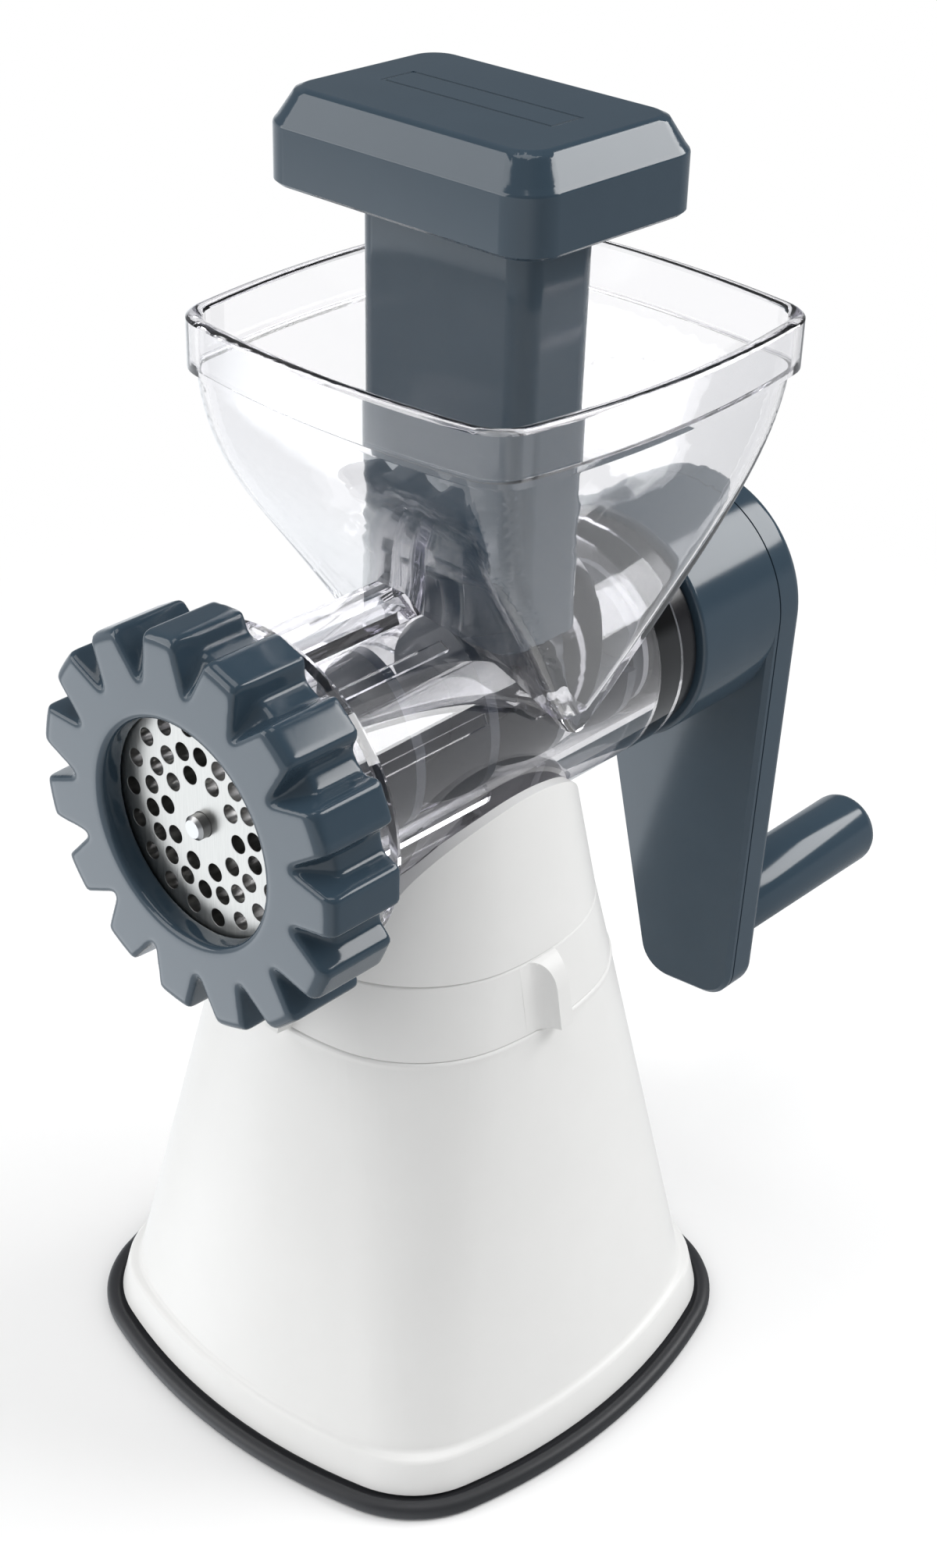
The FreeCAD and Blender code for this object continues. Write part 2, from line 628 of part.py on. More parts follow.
def hopper_section(z, wall=0.0):
    """The hopper's bowed rectangle at a height, outside or inside the wall."""
    top_x = RIM_HALF_X - RIM_STEP
    top_y = RIM_HALF_Y - RIM_STEP
    half_x = knee(z, top_x, KNEE_X_Z, APEX_HALF_X, APEX_Z)
    front = knee(z, top_y - HOPPER_Y, KNEE_Y_Z, APEX_HALF_Y - APEX_Y, APEX_Z)
    back = knee(z, top_y + HOPPER_Y, KNEE_Y_Z, APEX_HALF_Y + APEX_Y, APEX_Z)
    rise = min(max((z - APEX_Z) / (RIM_Z - RIM_BAND_H - APEX_Z), 0.0), 1.0)
    lean_front = math.hypot(1, (top_y - HOPPER_Y - APEX_HALF_Y + APEX_Y) / (KNEE_Y_Z - APEX_Z))
    lean_back = math.hypot(1, (top_y + HOPPER_Y - APEX_HALF_Y - APEX_Y) / (KNEE_Y_Z - APEX_Z))
    inset_front = wall * (lean_front + (1 - lean_front) * rise)
    inset_back = wall * (lean_back + (1 - lean_back) * rise)
    half_y = (front + back - inset_front - inset_back) / 2
    middle_y = (back - inset_back - front + inset_front) / 2
    corner_r = APEX_CORNER_R + (RIM_CORNER_R - RIM_STEP - APEX_CORNER_R) * rise
    inner_r = max(corner_r - wall * rise, APEX_CORNER_R * 0.8)
    side_r = 1 / (1 / APEX_SIDE_R + (1 / RIM_SIDE_R - 1 / APEX_SIDE_R) * rise)
    return bowed_rect(half_x - wall, half_y, side_r, inner_r, z, middle_y)


def rim_section(z, inset):
    """The hopper's rim, or a parallel outline inside it."""
    half_x, half_y = RIM_HALF_X - inset, RIM_HALF_Y - inset
    return bowed_rect(half_x, half_y, RIM_SIDE_R - inset, RIM_CORNER_R - inset, z, HOPPER_Y)


def make_clear_body():
    """Hopper, barrel, flange and threaded mouth in one clear moulding."""
    band_z = RIM_Z - RIM_BAND_H
    bend_z = KNEE_Y_Z - KNEE_BLEND
    slope_heights = [APEX_Z, (APEX_Z + bend_z) / 2, bend_z]
    bend_heights = [bend_z + (band_z - bend_z) * share for share in (0.25, 0.5, 0.75, 1.0)]
    outer_hopper = loft([hopper_section(z) for z in slope_heights + bend_heights], ruled=False)
    inner_low = APEX_Z + 2 * HOPPER_WALL
    inner_heights = [inner_low] + slope_heights[1:] + bend_heights
    inner_hopper = loft([hopper_section(z, HOPPER_WALL) for z in inner_heights], ruled=False)
    band = loft([rim_section(band_z - RIM_LIP, RIM_STEP), rim_section(band_z, 0),
                 rim_section(RIM_Z - RIM_LIP, 0), rim_section(RIM_Z, RIM_LIP)])
    rim_wall = HOPPER_WALL + RIM_STEP
    band_room = loft([rim_section(band_z, rim_wall), rim_section(RIM_Z - RIM_LIP, rim_wall),
                      rim_section(RIM_Z, rim_wall - RIM_LIP)])
    barrel = cylinder_y(BARREL_R, FLANGE_Y, BARREL_REAR_Y)
    flange = cylinder_y(FLANGE_R, flange_front_y, FLANGE_Y)
    mouth = cylinder_y(MOUTH_R, mouth_y, flange_front_y)
    rib = box(-TOP_RIB_W / 2, TOP_RIB_W / 2, FLANGE_Y, APEX_Y, AXIS_Z + BORE_R, TOP_RIB_Z)
    behind = box(-TOP_RIB_W, TOP_RIB_W, HOPPER_Y - RIM_HALF_Y, APEX_Y, TOP_RIB_Z - BARREL_R, TOP_RIB_Z + 1)
    rib = rib.cut(behind.common(inner_hopper))
    bosses = [cylinder_z(BARREL_BOSS_R, cradle_floor_z1, AXIS_Z - BORE_R, 0, y) for y in barrel_screw_places]
    ridge_root = MOUTH_R - 0.3
    ridge_top = MOUTH_R + THREAD_H
    thread = helix_ridge([(ridge_root, -THREAD_BASE_W / 2), (ridge_top, -THREAD_CREST_W / 2),
                          (ridge_top, THREAD_CREST_W / 2), (ridge_root, THREAD_BASE_W / 2)],
                         THREAD_PITCH, THREAD_TURNS, flange_front_y - THREAD_RUN_IN)
    body = barrel.fuse([flange, mouth, outer_hopper, band, rib] + bosses)
    chamber_y = cutter_back_y + FREE_GAP
    bore = cylinder_y(BORE_R, mouth_y, bore_rear_y)
    bore = bore.fuse([cylinder_y(CHAMBER_R, mouth_y, chamber_y),
                      cone_y(CHAMBER_R, BORE_R, chamber_y, chamber_y + CHAMBER_RUN)])
    seat = cylinder_y(DISC_R + DISC_FIT, mouth_y, disc_back_y)
    rear_hole = cylinder_y(REAR_HOLE_R, bore_rear_y, BARREL_REAR_Y)
    body = body.cut([bore, seat, rear_hole, inner_hopper, band_room])
    pilot_z1 = cradle_floor_z1 + BARREL_SCREW_LEN - 1.5
    pilots = [cylinder_z(BARREL_SCREW_R + SEAT_FIT, cradle_floor_z1, pilot_z1, 0, y)
              for y in barrel_screw_places]
    key_half = DISC_KEY_W / 2 - DISC_FIT
    key_z = AXIS_Z - DISC_R
    key = box(-key_half, key_half, mouth_y, disc_back_y, key_z - 1, key_z + DISC_KEY_H - DISC_FIT)
    body = body.cut(pilots).fuse([key, thread])
    return body.fuse(make_bore_ribs(inner_hopper)).Solids[0]


def make_bore_ribs(throat):
    """Straight feed ribs along the front of the bore, open under the throat."""
    ribs = []
    front_y = cutter_back_y + CUTTER_T
    for index in range(BORE_RIB_COUNT):
        rib = box(-BORE_RIB_W / 2, BORE_RIB_W / 2, front_y, front_y + BORE_RIB_LEN,
                  AXIS_Z + BORE_R - BORE_RIB_H, AXIS_Z + BORE_R + BORE_RIB_H / 2)
        rib.rotate(at_axis(0, 0, 0), Y_AXIS, 360.0 / BORE_RIB_COUNT * (index + 0.5))
        ribs.append(rib.cut(throat))
    return ribs


def make_disc():
    """Perforated steel disc with a centre bearing hole and a key notch."""
    disc = cylinder_y(DISC_R, disc_front_y, disc_back_y)
    holes = [cylinder_y(PIN_R + RUNNING_FIT, disc_front_y, disc_back_y)]
    for ring_r, count, start in DISC_RINGS:
        for index in range(count):
            angle = math.radians(start + 360.0 / count * index)
            x, z = ring_r * math.cos(angle), ring_r * math.sin(angle)
            holes.append(cylinder_y(DISC_HOLE_R, disc_front_y, disc_back_y, x, AXIS_Z + z))
    half = DISC_KEY_W / 2
    notch = box(-half, half, disc_front_y, disc_back_y, AXIS_Z - DISC_R - 1, AXIS_Z - DISC_R + DISC_KEY_H)
    return solid_of(disc.cut(Part.makeCompound(holes)).cut(notch))


def rounded_polygon(points, radius):
    """A closed outline in the plane y = 0 with every corner rounded, points as (x, z)."""
    count = len(points)
    edges = []
    ends = []
    for index, point in enumerate(points):
        corner = Vector(point[0], 0, point[1])
        before = Vector(points[index - 1][0], 0, points[index - 1][1]) - corner
        after = Vector(points[(index + 1) % count][0], 0, points[(index + 1) % count][1]) - corner
        half_angle = before.getAngle(after) / 2
        reach = radius / math.tan(half_angle)
        before.normalize()
        after.normalize()
        inward = before + after
        inward.normalize()
        centre = corner + inward * (radius / math.sin(half_angle))
        first, last = corner + before * reach, corner + after * reach
        edges.append(Part.Arc(first, centre - inward * radius, last).toShape())
        ends.append((first, last))
    for index in range(count):
        edges.append(Part.makeLine(ends[index][1], ends[(index + 1) % count][0]))
    return Part.Wire(Part.__sortEdges__(edges))


def make_ring_nut():
    """Lobed nut: front lip over the disc, long lobes with V notches, internal thread."""
    points = []
    step = 2 * math.pi / LOBE_COUNT
    for index in range(LOBE_COUNT):
        lobe = step * index
        top = math.asin(LOBE_TOP_W / 2 / LOBE_R)
        floor = step / 2 - math.asin(VALLEY_W / 2 / VALLEY_R)
        for angle, radius in ((-floor, VALLEY_R), (-top, LOBE_R), (top, LOBE_R), (floor, VALLEY_R)):
            points.append((radius * math.cos(lobe + angle), radius * math.sin(lobe + angle)))
    nut = prism_y(rounded_polygon(points, LOBE_ROUND), NUT_FRONT_Y, nut_back_y)
    nut.translate(Vector(0, 0, AXIS_Z))
    nut = nut.common(make_nut_envelope())
    nut = nut.cut([make_nut_notch(360.0 / LOBE_COUNT * (index + 0.5)) for index in range(LOBE_COUNT)])
    root_r = MOUTH_R + THREAD_H + THREAD_CLEARANCE
    crest_r = root_r - THREAD_H
    disc_room = cylinder_y(DISC_R + 2 * DISC_FIT, disc_front_y, nut_back_y)
    thread_room = cylinder_y(root_r, mouth_y - THREAD_CLEARANCE, nut_back_y)
    nut = nut.cut([make_nut_mouth(), disc_room, thread_room])
    start = flange_front_y - THREAD_RUN_IN - THREAD_PITCH / 2
    thread = helix_ridge([(root_r + 0.3, -THREAD_BASE_W / 2), (crest_r, -THREAD_CREST_W / 2),
                          (crest_r, THREAD_CREST_W / 2), (root_r + 0.3, THREAD_BASE_W / 2)],
                         THREAD_PITCH, THREAD_TURNS, start)
    return solid_of(nut.fuse(thread))


def revolve_y(points):
    """A solid turned about the barrel axis from a closed outline, points as (radius, y)."""
    corners = [at_axis(radius, y, 0) for radius, y in points]
    face = Part.Face(Part.makePolygon(corners + corners[:1]))
    return face.revolve(at_axis(0, 0, 0), Y_AXIS, 360)


def quarter_round(radius_at, y_at, size, steps=6):
    """Points of a convex round between a front face and an outer wall."""
    points = []
    for index in range(steps + 1):
        angle = math.pi / 2 * index / steps
        points.append((radius_at - size + size * math.sin(angle), y_at + size - size * math.cos(angle)))
    return points


def make_nut_envelope():
    front = quarter_round(LOBE_R, NUT_FRONT_Y, NUT_FRONT_ROUND)
    return revolve_y([(0, NUT_FRONT_Y)] + front + [(LOBE_R, nut_back_y), (0, nut_back_y)])


def make_nut_mouth():
    """The nut's opening, flared with a round at the front."""
    flare = []
    steps = 6
    for index in range(steps + 1):
        angle = math.pi / 2 * index / steps
        radius = NUT_MOUTH_R + NUT_EDGE_R - NUT_EDGE_R * math.sin(angle)
        flare.append((radius, NUT_FRONT_Y + NUT_EDGE_R - NUT_EDGE_R * math.cos(angle)))
    return revolve_y([(0, NUT_FRONT_Y)] + flare + [(NUT_MOUTH_R, disc_front_y), (0, disc_front_y)])


def make_nut_notch(angle):
    """Ramp that runs a valley out over the front face: the lobes' flanks, closed by a sloping floor."""
    step = math.pi / LOBE_COUNT
    floor_half = VALLEY_W / 2
    flank_half = LOBE_R * math.sin(step - math.asin(LOBE_TOP_W / 2 / LOBE_R))
    flank = (flank_half - floor_half) / (LOBE_R - VALLEY_R)
    wide = LOBE_R + 2

    def section(floor_r, y):
        low = max(floor_half + flank * (floor_r - VALLEY_R), 0.2)
        high = floor_half + flank * (wide - VALLEY_R)
        corners = [at_axis(radius, y, across) for radius, across in (
            (floor_r, -low), (floor_r, low), (wide, high), (wide, -high))]
        return Part.makePolygon(corners + corners[:1])

    notch = loft([section(NOTCH_TIP_R, NUT_FRONT_Y), section(VALLEY_R, NUT_FRONT_Y + NOTCH_RUN)])
    notch.rotate(at_axis(0, 0, 0), Y_AXIS, angle)
    return notch


def make_auger():
    """Feed screw: tapered core with one flight, rear collar and journal with a square socket."""
    core = cone_y(CORE_FRONT_R, CORE_REAR_R, cutter_back_y, collar_rear_y)
    collar = cylinder_y(COLLAR_R, collar_rear_y - COLLAR_T, collar_rear_y)
    journal = cylinder_y(JOURNAL_R, collar_rear_y, journal_rear_y)
    length = collar_rear_y - COLLAR_T - cutter_back_y
    turns = (length - FLIGHT_ROOT_W) / FLIGHT_PITCH
    flight_y = collar_rear_y - COLLAR_T - FLIGHT_ROOT_W / 2
    root_r = CORE_REAR_R - 1
    flight = helix_ridge([(root_r, -FLIGHT_ROOT_W / 2), (FLIGHT_R, -FLIGHT_TIP_W / 2),
                          (FLIGHT_R, FLIGHT_TIP_W / 2), (root_r, FLIGHT_ROOT_W / 2)],
                         FLIGHT_PITCH, turns, flight_y, left_handed=True)
    auger = core.fuse([collar, journal, flight])
    stud_hole = square_bar(STUD_SIDE + 2 * SEAT_FIT, cutter_back_y, cutter_back_y + STUD_SEAT)
    shaft_hole = square_bar(SHAFT_SIDE + 2 * SEAT_FIT, journal_rear_y - SHAFT_SEAT, journal_rear_y)
    return swing(solid_of(auger.cut([stud_hole, shaft_hole])))


def make_stud():
    """Steel stud in the auger's nose: square under the cutter, round where it runs in the disc."""
    square = square_bar(STUD_SIDE, cutter_front_y, cutter_back_y + STUD_SEAT)
    tip_y = disc_front_y - PIN_PROUD
    pin = cylinder_y(PIN_R, tip_y + PIN_TIP, cutter_front_y)
    tip = cone_y(PIN_R - PIN_TIP, PIN_R, tip_y, tip_y + PIN_TIP)
    return swing(solid_of(square.fuse([pin, tip])))


def make_cutter():
    """Steel cutter: a hub with four tapered arms, flat against the disc."""
    blade = cylinder_y(CUTTER_HUB_R, cutter_front_y, cutter_back_y)
    for index in range(CUTTER_ARMS):
        half = CUTTER_ARM_W / 2
        corners = [at_axis(0, cutter_front_y, -half), at_axis(0, cutter_front_y, half),
                   at_axis(0, cutter_back_y, half * 0.4), at_axis(0, cutter_back_y, -half)]
        arm = Part.Face(Part.makePolygon(corners + corners[:1])).extrude(Vector(CUTTER_R, 0, 0))
        arm.rotate(at_axis(0, 0, 0), Y_AXIS, 360.0 / CUTTER_ARMS * index)
        blade = blade.fuse(arm)
    blade = blade.common(cylinder_y(CUTTER_R - 0.2, cutter_front_y, cutter_back_y))
    return swing(solid_of(blade.cut(square_bar(STUD_SIDE + 2 * SEAT_FIT, cutter_front_y, cutter_back_y))))


def make_rear_bush():
    """Black bearing bush: a wide flange behind the barrel and a spigot in its rear hole."""
    flange = cylinder_y(BUSH_R, BARREL_REAR_Y, bush_rear_y)
    spigot = cylinder_y(REAR_HOLE_R - SEAT_FIT, bore_rear_y, BARREL_REAR_Y)
    return solid_of(flange.fuse(spigot).cut(cylinder_y(JOURNAL_R + RUNNING_FIT, bore_rear_y, bush_rear_y)))


def make_thrust_washer():
    """Thrust washer between the auger's collar and the barrel's rear wall."""
    washer = cylinder_y(COLLAR_R, collar_rear_y, bore_rear_y)
    return washer.cut(cylinder_y(JOURNAL_R + FREE_GAP, collar_rear_y, bore_rear_y))


def make_drive_shaft():
    """Square steel shaft that carries the crank's turn into the auger."""
    shaft = square_bar(SHAFT_SIDE, journal_rear_y - SHAFT_SEAT, cover_y)
    return swing(shaft.cut(cylinder_y(CRANK_SCREW_R + SEAT_FIT, cover_y - CRANK_SCREW_LEN, cover_y)))


def arm_outline(inset=0.0):
    """The crank's side outline hanging straight down: hub round, two tangents, blunt end, round corners."""
    top_r, end_r = HUB_R - inset, ARM_CORNER_R - inset
    lean = math.atan2(-ARM_CORNER_DROP, ARM_CORNER_X)
    lean += math.acos((HUB_R - ARM_CORNER_R) / math.hypot(ARM_CORNER_DROP, ARM_CORNER_X))
    middle = (lean - math.pi / 2) / 2

    def on_hub(side):
        return at_axis(side * top_r * math.cos(lean), 0, top_r * math.sin(lean))

    def on_corner(side, angle):
        x = ARM_CORNER_X + end_r * math.cos(angle)
        return at_axis(side * x, 0, end_r * math.sin(angle) - ARM_CORNER_DROP)

    down = -math.pi / 2
    edges = [Part.Arc(on_hub(1), at_axis(0, 0, top_r), on_hub(-1)).toShape()]
    edges.append(Part.makeLine(on_hub(-1), on_corner(-1, lean)))
    edges.append(Part.Arc(on_corner(-1, lean), on_corner(-1, middle), on_corner(-1, down)).toShape())
    edges.append(Part.makeLine(on_corner(-1, down), on_corner(1, down)))
    edges.append(Part.Arc(on_corner(1, down), on_corner(1, middle), on_corner(1, lean)).toShape())
    edges.append(Part.makeLine(on_corner(1, lean), on_hub(1)))
    return Part.Wire(edges)


def arm_slab(y0, y1, inset=0.0):
    return prism_y(arm_outline(inset), y0, y1)


def arm_loft(stations):
    """A slab with the crank's outline whose edge follows stations of (y, inset)."""
    wires = []
    for y, inset in stations:
        wire = arm_outline(inset)
        wire.translate(Vector(0, y, 0))
        wires.append(wire)
    return loft(wires)


def swing(shape):
    """Turn a crank piece from hanging straight down to its place at rest."""
    shape.rotate(at_axis(0, 0, 0), Y_AXIS, ARM_REST_DEG)
    return shape


def make_crank_shell():
    """Front half of the crank: hub cup and arm tray, open to the rear."""
    edge = HUB_ROUND
    arm = arm_loft([(arm_front_y, edge), (arm_front_y + edge, 0), (cover_y, 0)])
    hub_points = [(0, hub_front_y)] + quarter_round(HUB_R, hub_front_y, edge)
    hub = revolve_y(hub_points + [(HUB_R, cover_y), (0, cover_y)])
    room = cylinder_y(HUB_R - CRANK_WALL, hub_front_y + CRANK_WALL, cover_y)
    tray = arm_slab(arm_front_y + CRANK_WALL, cover_y, CRANK_WALL)
    shell = hub.fuse(arm).cut([room, tray])
    hub_boss = cylinder_y(HUB_BOSS_R, hub_front_y + CRANK_WALL, cover_y)
    grip_boss = cylinder_y(GRIP_BOSS_R, arm_front_y + CRANK_WALL, cover_y, 0, AXIS_Z - ARM_LEN)
    shell = shell.fuse([hub_boss, grip_boss])
    shaft_hole = square_bar(SHAFT_SIDE + 2 * SEAT_FIT, hub_front_y, cover_y)
    thread_y = arm_front_y + CRANK_WALL
    thread_hole = cylinder_y(GRIP_THREAD_R + SEAT_FIT, thread_y, cover_y, 0, AXIS_Z - ARM_LEN)
    return swing(solid_of(shell.cut([shaft_hole, thread_hole])))


def make_crank_cover():
    """Rear half of the crank: a lid with a softened rear edge."""
    half = COVER_ROUND / 2
    lid = arm_loft([(cover_y, 0), (crank_rear_y - COVER_ROUND, 0), (crank_rear_y - half * 0.6, half * 0.6),
                    (crank_rear_y, COVER_ROUND)])
    room = arm_slab(cover_y, crank_rear_y - CRANK_WALL, CRANK_WALL)
    bosses = [cylinder_y(HUB_BOSS_R, cover_y, crank_rear_y - CRANK_WALL),
              cylinder_y(GRIP_BOSS_R, cover_y, crank_rear_y - CRANK_WALL, 0, AXIS_Z - ARM_LEN)]
    lid = lid.cut(room).fuse(bosses)
    holes = [cylinder_y(CRANK_SCREW_R + DISC_FIT, cover_y, crank_rear_y),
             cylinder_y(CRANK_SCREW_HEAD_R + FREE_GAP, crank_rear_y - CRANK_SCREW_HEAD_H, crank_rear_y),
             cylinder_y(GRIP_THREAD_R + SEAT_FIT, cover_y, crank_rear_y, 0, AXIS_Z - ARM_LEN)]
    return swing(solid_of(lid.cut(holes)))


def make_crank_screw():
    """Screw that holds the crank on the drive shaft, its head sunk in the cover."""
    seat_y = crank_rear_y - CRANK_SCREW_HEAD_H
    head = cylinder_y(CRANK_SCREW_HEAD_R, seat_y, crank_rear_y)
    shank = cylinder_y(CRANK_SCREW_R, cover_y - CRANK_SCREW_LEN, seat_y)
    long, short = CRANK_SCREW_HEAD_R, CRANK_SCREW_HEAD_R * 0.28
    depth_y = crank_rear_y - CRANK_SCREW_HEAD_H / 2
    cross = [box(-a / 2, a / 2, depth_y, crank_rear_y, AXIS_Z - b / 2, AXIS_Z + b / 2)
             for a, b in ((long, short), (short, long))]
    return swing(solid_of(head.fuse(shank).cut(cross)))


def make_grip_screw():
    """Shoulder screw that the grip turns on, threaded through the cover into the arm."""
    z = AXIS_Z - ARM_LEN
    seat_y = grip_y0 + GRIP_SEAT_LEN + FREE_GAP
    thread = cylinder_y(GRIP_THREAD_R, arm_front_y + CRANK_WALL, crank_rear_y, 0, z)
    shoulder = cylinder_y(GRIP_SCREW_R, crank_rear_y, seat_y, 0, z)
    head_y = seat_y + GRIP_HEAD_H
    head = cylinder_y(GRIP_HEAD_R, seat_y, head_y, 0, z)
    socket = box(-GRIP_THREAD_R, GRIP_THREAD_R, head_y - GRIP_HEAD_H / 2, head_y, z - 0.6, z + 0.6)
    return swing(solid_of(thread.fuse([shoulder, head]).cut(socket)))


def grip_radius(y):
    return GRIP_R + (GRIP_END_R - GRIP_R) * (y - grip_y0) / GRIP_LEN


def make_grip_sleeve():
    """Grip tube that turns on the shoulder screw, a little thicker towards its end."""
    cap_y = grip_y1 - GRIP_CAP_LEN
    seat_y = grip_y0 + GRIP_SEAT_LEN
    edge = HUB_ROUND
    outline = [(0, grip_y0)] + quarter_round(grip_radius(grip_y0), grip_y0, edge)
    outline += [(grip_radius(cap_y), cap_y), (0, cap_y)]
    sleeve = revolve_y(outline)
    room = cylinder_y(GRIP_HEAD_R + FREE_GAP, seat_y, cap_y)
    sleeve = sleeve.cut([cylinder_y(GRIP_SCREW_R + RUNNING_FIT, grip_y0, seat_y), room])
    sleeve.translate(Vector(0, 0, -ARM_LEN))
    return swing(solid_of(sleeve))


def make_grip_cap():
    """Domed end cap pressed into the grip's mouth."""
    cap_y = grip_y1 - GRIP_CAP_LEN
    side_y = grip_y1 - GRIP_DOME
    rim = grip_radius(side_y)
    outline = [(0, cap_y), (grip_radius(cap_y), cap_y)]
    steps = 8
    for index in range(steps + 1):
        angle = math.pi / 2 * index / steps
        outline.append((rim * math.cos(angle) ** 0.6, side_y + GRIP_DOME * math.sin(angle)))
    cap = revolve_y(outline)
    spigot_y = grip_y0 + GRIP_SEAT_LEN + FREE_GAP + GRIP_HEAD_H + 1
    cap = cap.fuse(cylinder_y(GRIP_HEAD_R + FREE_GAP - SEAT_FIT, spigot_y, cap_y))
    cap.translate(Vector(0, 0, -ARM_LEN))
    return swing(solid_of(cap))


def stem_section(z, inset=0.0):
    """The pusher stem's section, drafted to be smaller at the bottom."""
    share = (STEM_TOP_Z - z) / (STEM_TOP_Z - stem_z0)
    trim = 2 * inset + STEM_DRAFT * share
    return round_rect(STEM_W - trim, STEM_D - trim, STEM_CORNER_R - inset, z, PUSHER_Y)


def cap_section(z, inset):
    return round_rect(CAP_W - 2 * inset, CAP_D - 2 * inset, CAP_CORNER_R - inset / 2, z, PUSHER_Y)


def make_pusher_stem():
    """Hollow stem with a closed foot and a flange that shuts the cap's underside."""
    stem = loft([stem_section(stem_z0), stem_section(STEM_TOP_Z)])
    inset = CAP_WALL + SEAT_FIT
    flange_z1 = STEM_TOP_Z + CAP_WALL
    flange = loft([cap_section(STEM_TOP_Z, inset), cap_section(flange_z1, inset)])
    room = loft([stem_section(stem_z0 + STEM_WALL, STEM_WALL), stem_section(flange_z1, STEM_WALL)])
    return solid_of(stem.fuse(flange).cut(room))


def make_pusher_cap():
    """Cap with upright sides and a bevelled top, open underneath."""
    side_z = STEM_TOP_Z + CAP_SIDE_H
    top_z = side_z + CAP_TOP_H
    soft = 0.8
    stations = [(STEM_TOP_Z, soft), (STEM_TOP_Z + soft, 0), (side_z - soft, 0), (side_z + soft * 0.4, soft),
                (top_z - soft, CAP_TOP_INSET - soft), (top_z, CAP_TOP_INSET + soft)]
    cap = loft([cap_section(z, inset) for z, inset in stations])
    roof_z = top_z - CAP_WALL
    room = loft([cap_section(STEM_TOP_Z, CAP_WALL), cap_section(side_z - CAP_WALL, CAP_WALL),
                 cap_section(roof_z, CAP_TOP_INSET + CAP_WALL)])
    return solid_of(cap.cut(room))


NODES = {
    "base_shell": make_base_shell,
    "foot_seal": make_foot_seal,
    "suction_diaphragm": make_diaphragm,
    "pull_plate": make_pull_plate,
    "lift_spindle": make_spindle,
    "cross_pin": make_cross_pin,
    "lock_ring": make_lock_ring,
    "cradle": make_cradle,
    "cradle_screws": make_cradle_screws,
    "clear_body": make_clear_body,
    "barrel_screws": make_barrel_screws,
    "rear_bush": make_rear_bush,
    "thrust_washer": make_thrust_washer,
    "auger": make_auger,
    "auger_stud": make_stud,
    "cutter_blade": make_cutter,
    "perforated_disc": make_disc,
    "ring_nut": make_ring_nut,
    "drive_shaft": make_drive_shaft,
    "crank_shell": make_crank_shell,
    "crank_cover": make_crank_cover,
    "crank_screw": make_crank_screw,
    "grip_screw": make_grip_screw,
    "grip_sleeve": make_grip_sleeve,
    "grip_end_cap": make_grip_cap,
    "pusher_stem": make_pusher_stem,
    "pusher_cap": make_pusher_cap,
}

os.makedirs(PARTS, exist_ok=True)
for name, make in NODES.items():
    shape = make()
    shape.exportStep(os.path.join(PARTS, name + ".step"))
    print(name, "solids", len(shape.Solids), "valid", shape.isValid(), "volume", round(shape.Volume))
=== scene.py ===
# %% [markdown]
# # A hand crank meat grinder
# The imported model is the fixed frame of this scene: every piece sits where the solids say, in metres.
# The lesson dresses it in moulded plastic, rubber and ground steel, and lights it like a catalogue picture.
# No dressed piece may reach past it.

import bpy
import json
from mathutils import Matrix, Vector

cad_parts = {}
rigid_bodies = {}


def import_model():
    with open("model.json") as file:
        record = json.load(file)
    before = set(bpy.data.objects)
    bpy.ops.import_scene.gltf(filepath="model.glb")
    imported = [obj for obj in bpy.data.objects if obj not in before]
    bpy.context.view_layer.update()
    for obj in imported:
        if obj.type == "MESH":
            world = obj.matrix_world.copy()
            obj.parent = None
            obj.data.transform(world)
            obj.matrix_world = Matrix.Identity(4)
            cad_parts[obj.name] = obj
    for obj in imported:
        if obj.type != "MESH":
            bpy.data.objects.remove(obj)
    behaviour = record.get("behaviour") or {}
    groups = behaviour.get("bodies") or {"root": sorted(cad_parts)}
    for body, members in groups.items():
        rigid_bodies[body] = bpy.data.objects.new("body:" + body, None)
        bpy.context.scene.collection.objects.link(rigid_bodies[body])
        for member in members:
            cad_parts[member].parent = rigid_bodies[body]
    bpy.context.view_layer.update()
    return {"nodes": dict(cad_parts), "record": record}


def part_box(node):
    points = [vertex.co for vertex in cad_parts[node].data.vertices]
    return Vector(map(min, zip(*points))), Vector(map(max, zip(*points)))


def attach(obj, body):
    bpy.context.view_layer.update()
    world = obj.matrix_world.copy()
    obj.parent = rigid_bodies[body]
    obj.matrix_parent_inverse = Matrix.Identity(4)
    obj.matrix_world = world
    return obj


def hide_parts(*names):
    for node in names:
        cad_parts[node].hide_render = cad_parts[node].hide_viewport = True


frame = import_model()

# %% [markdown]
# ## Tools and units
# The solids were drawn in millimetres and Blender counts in metres, so sizes below are written in
# millimetres and multiplied by MM. The record that comes with the solids knows the body, the finish and the
# joints of each one, so no later cell has to repeat them.

# %% Tools and the bare scene
import json
import math

import bmesh
import bpy
from mathutils import Matrix, Vector

MM = 0.001
scene = bpy.context.scene
nodes = frame["nodes"]
record = frame["record"]
print("nodes:", len(nodes))

# %% [markdown]
# ## Node helpers
# A material is a small graph of nodes, which could be drawn by hand in the shader editor. These helpers add
# a node, set its plain sockets and join two sockets, so that each finish below reads like a recipe.

# %% Node helpers


def add(tree, kind, **values):
    """Adds a node and sets its plain inputs by name."""
    node = tree.nodes.new(kind)
    for name, value in values.items():
        node.inputs[name.replace("_", " ")].default_value = value
    return node


def join(tree, a, out, b, into):
    """Draws a link between two sockets, by name or by number."""
    tree.links.new(a.outputs[out], b.inputs[into])


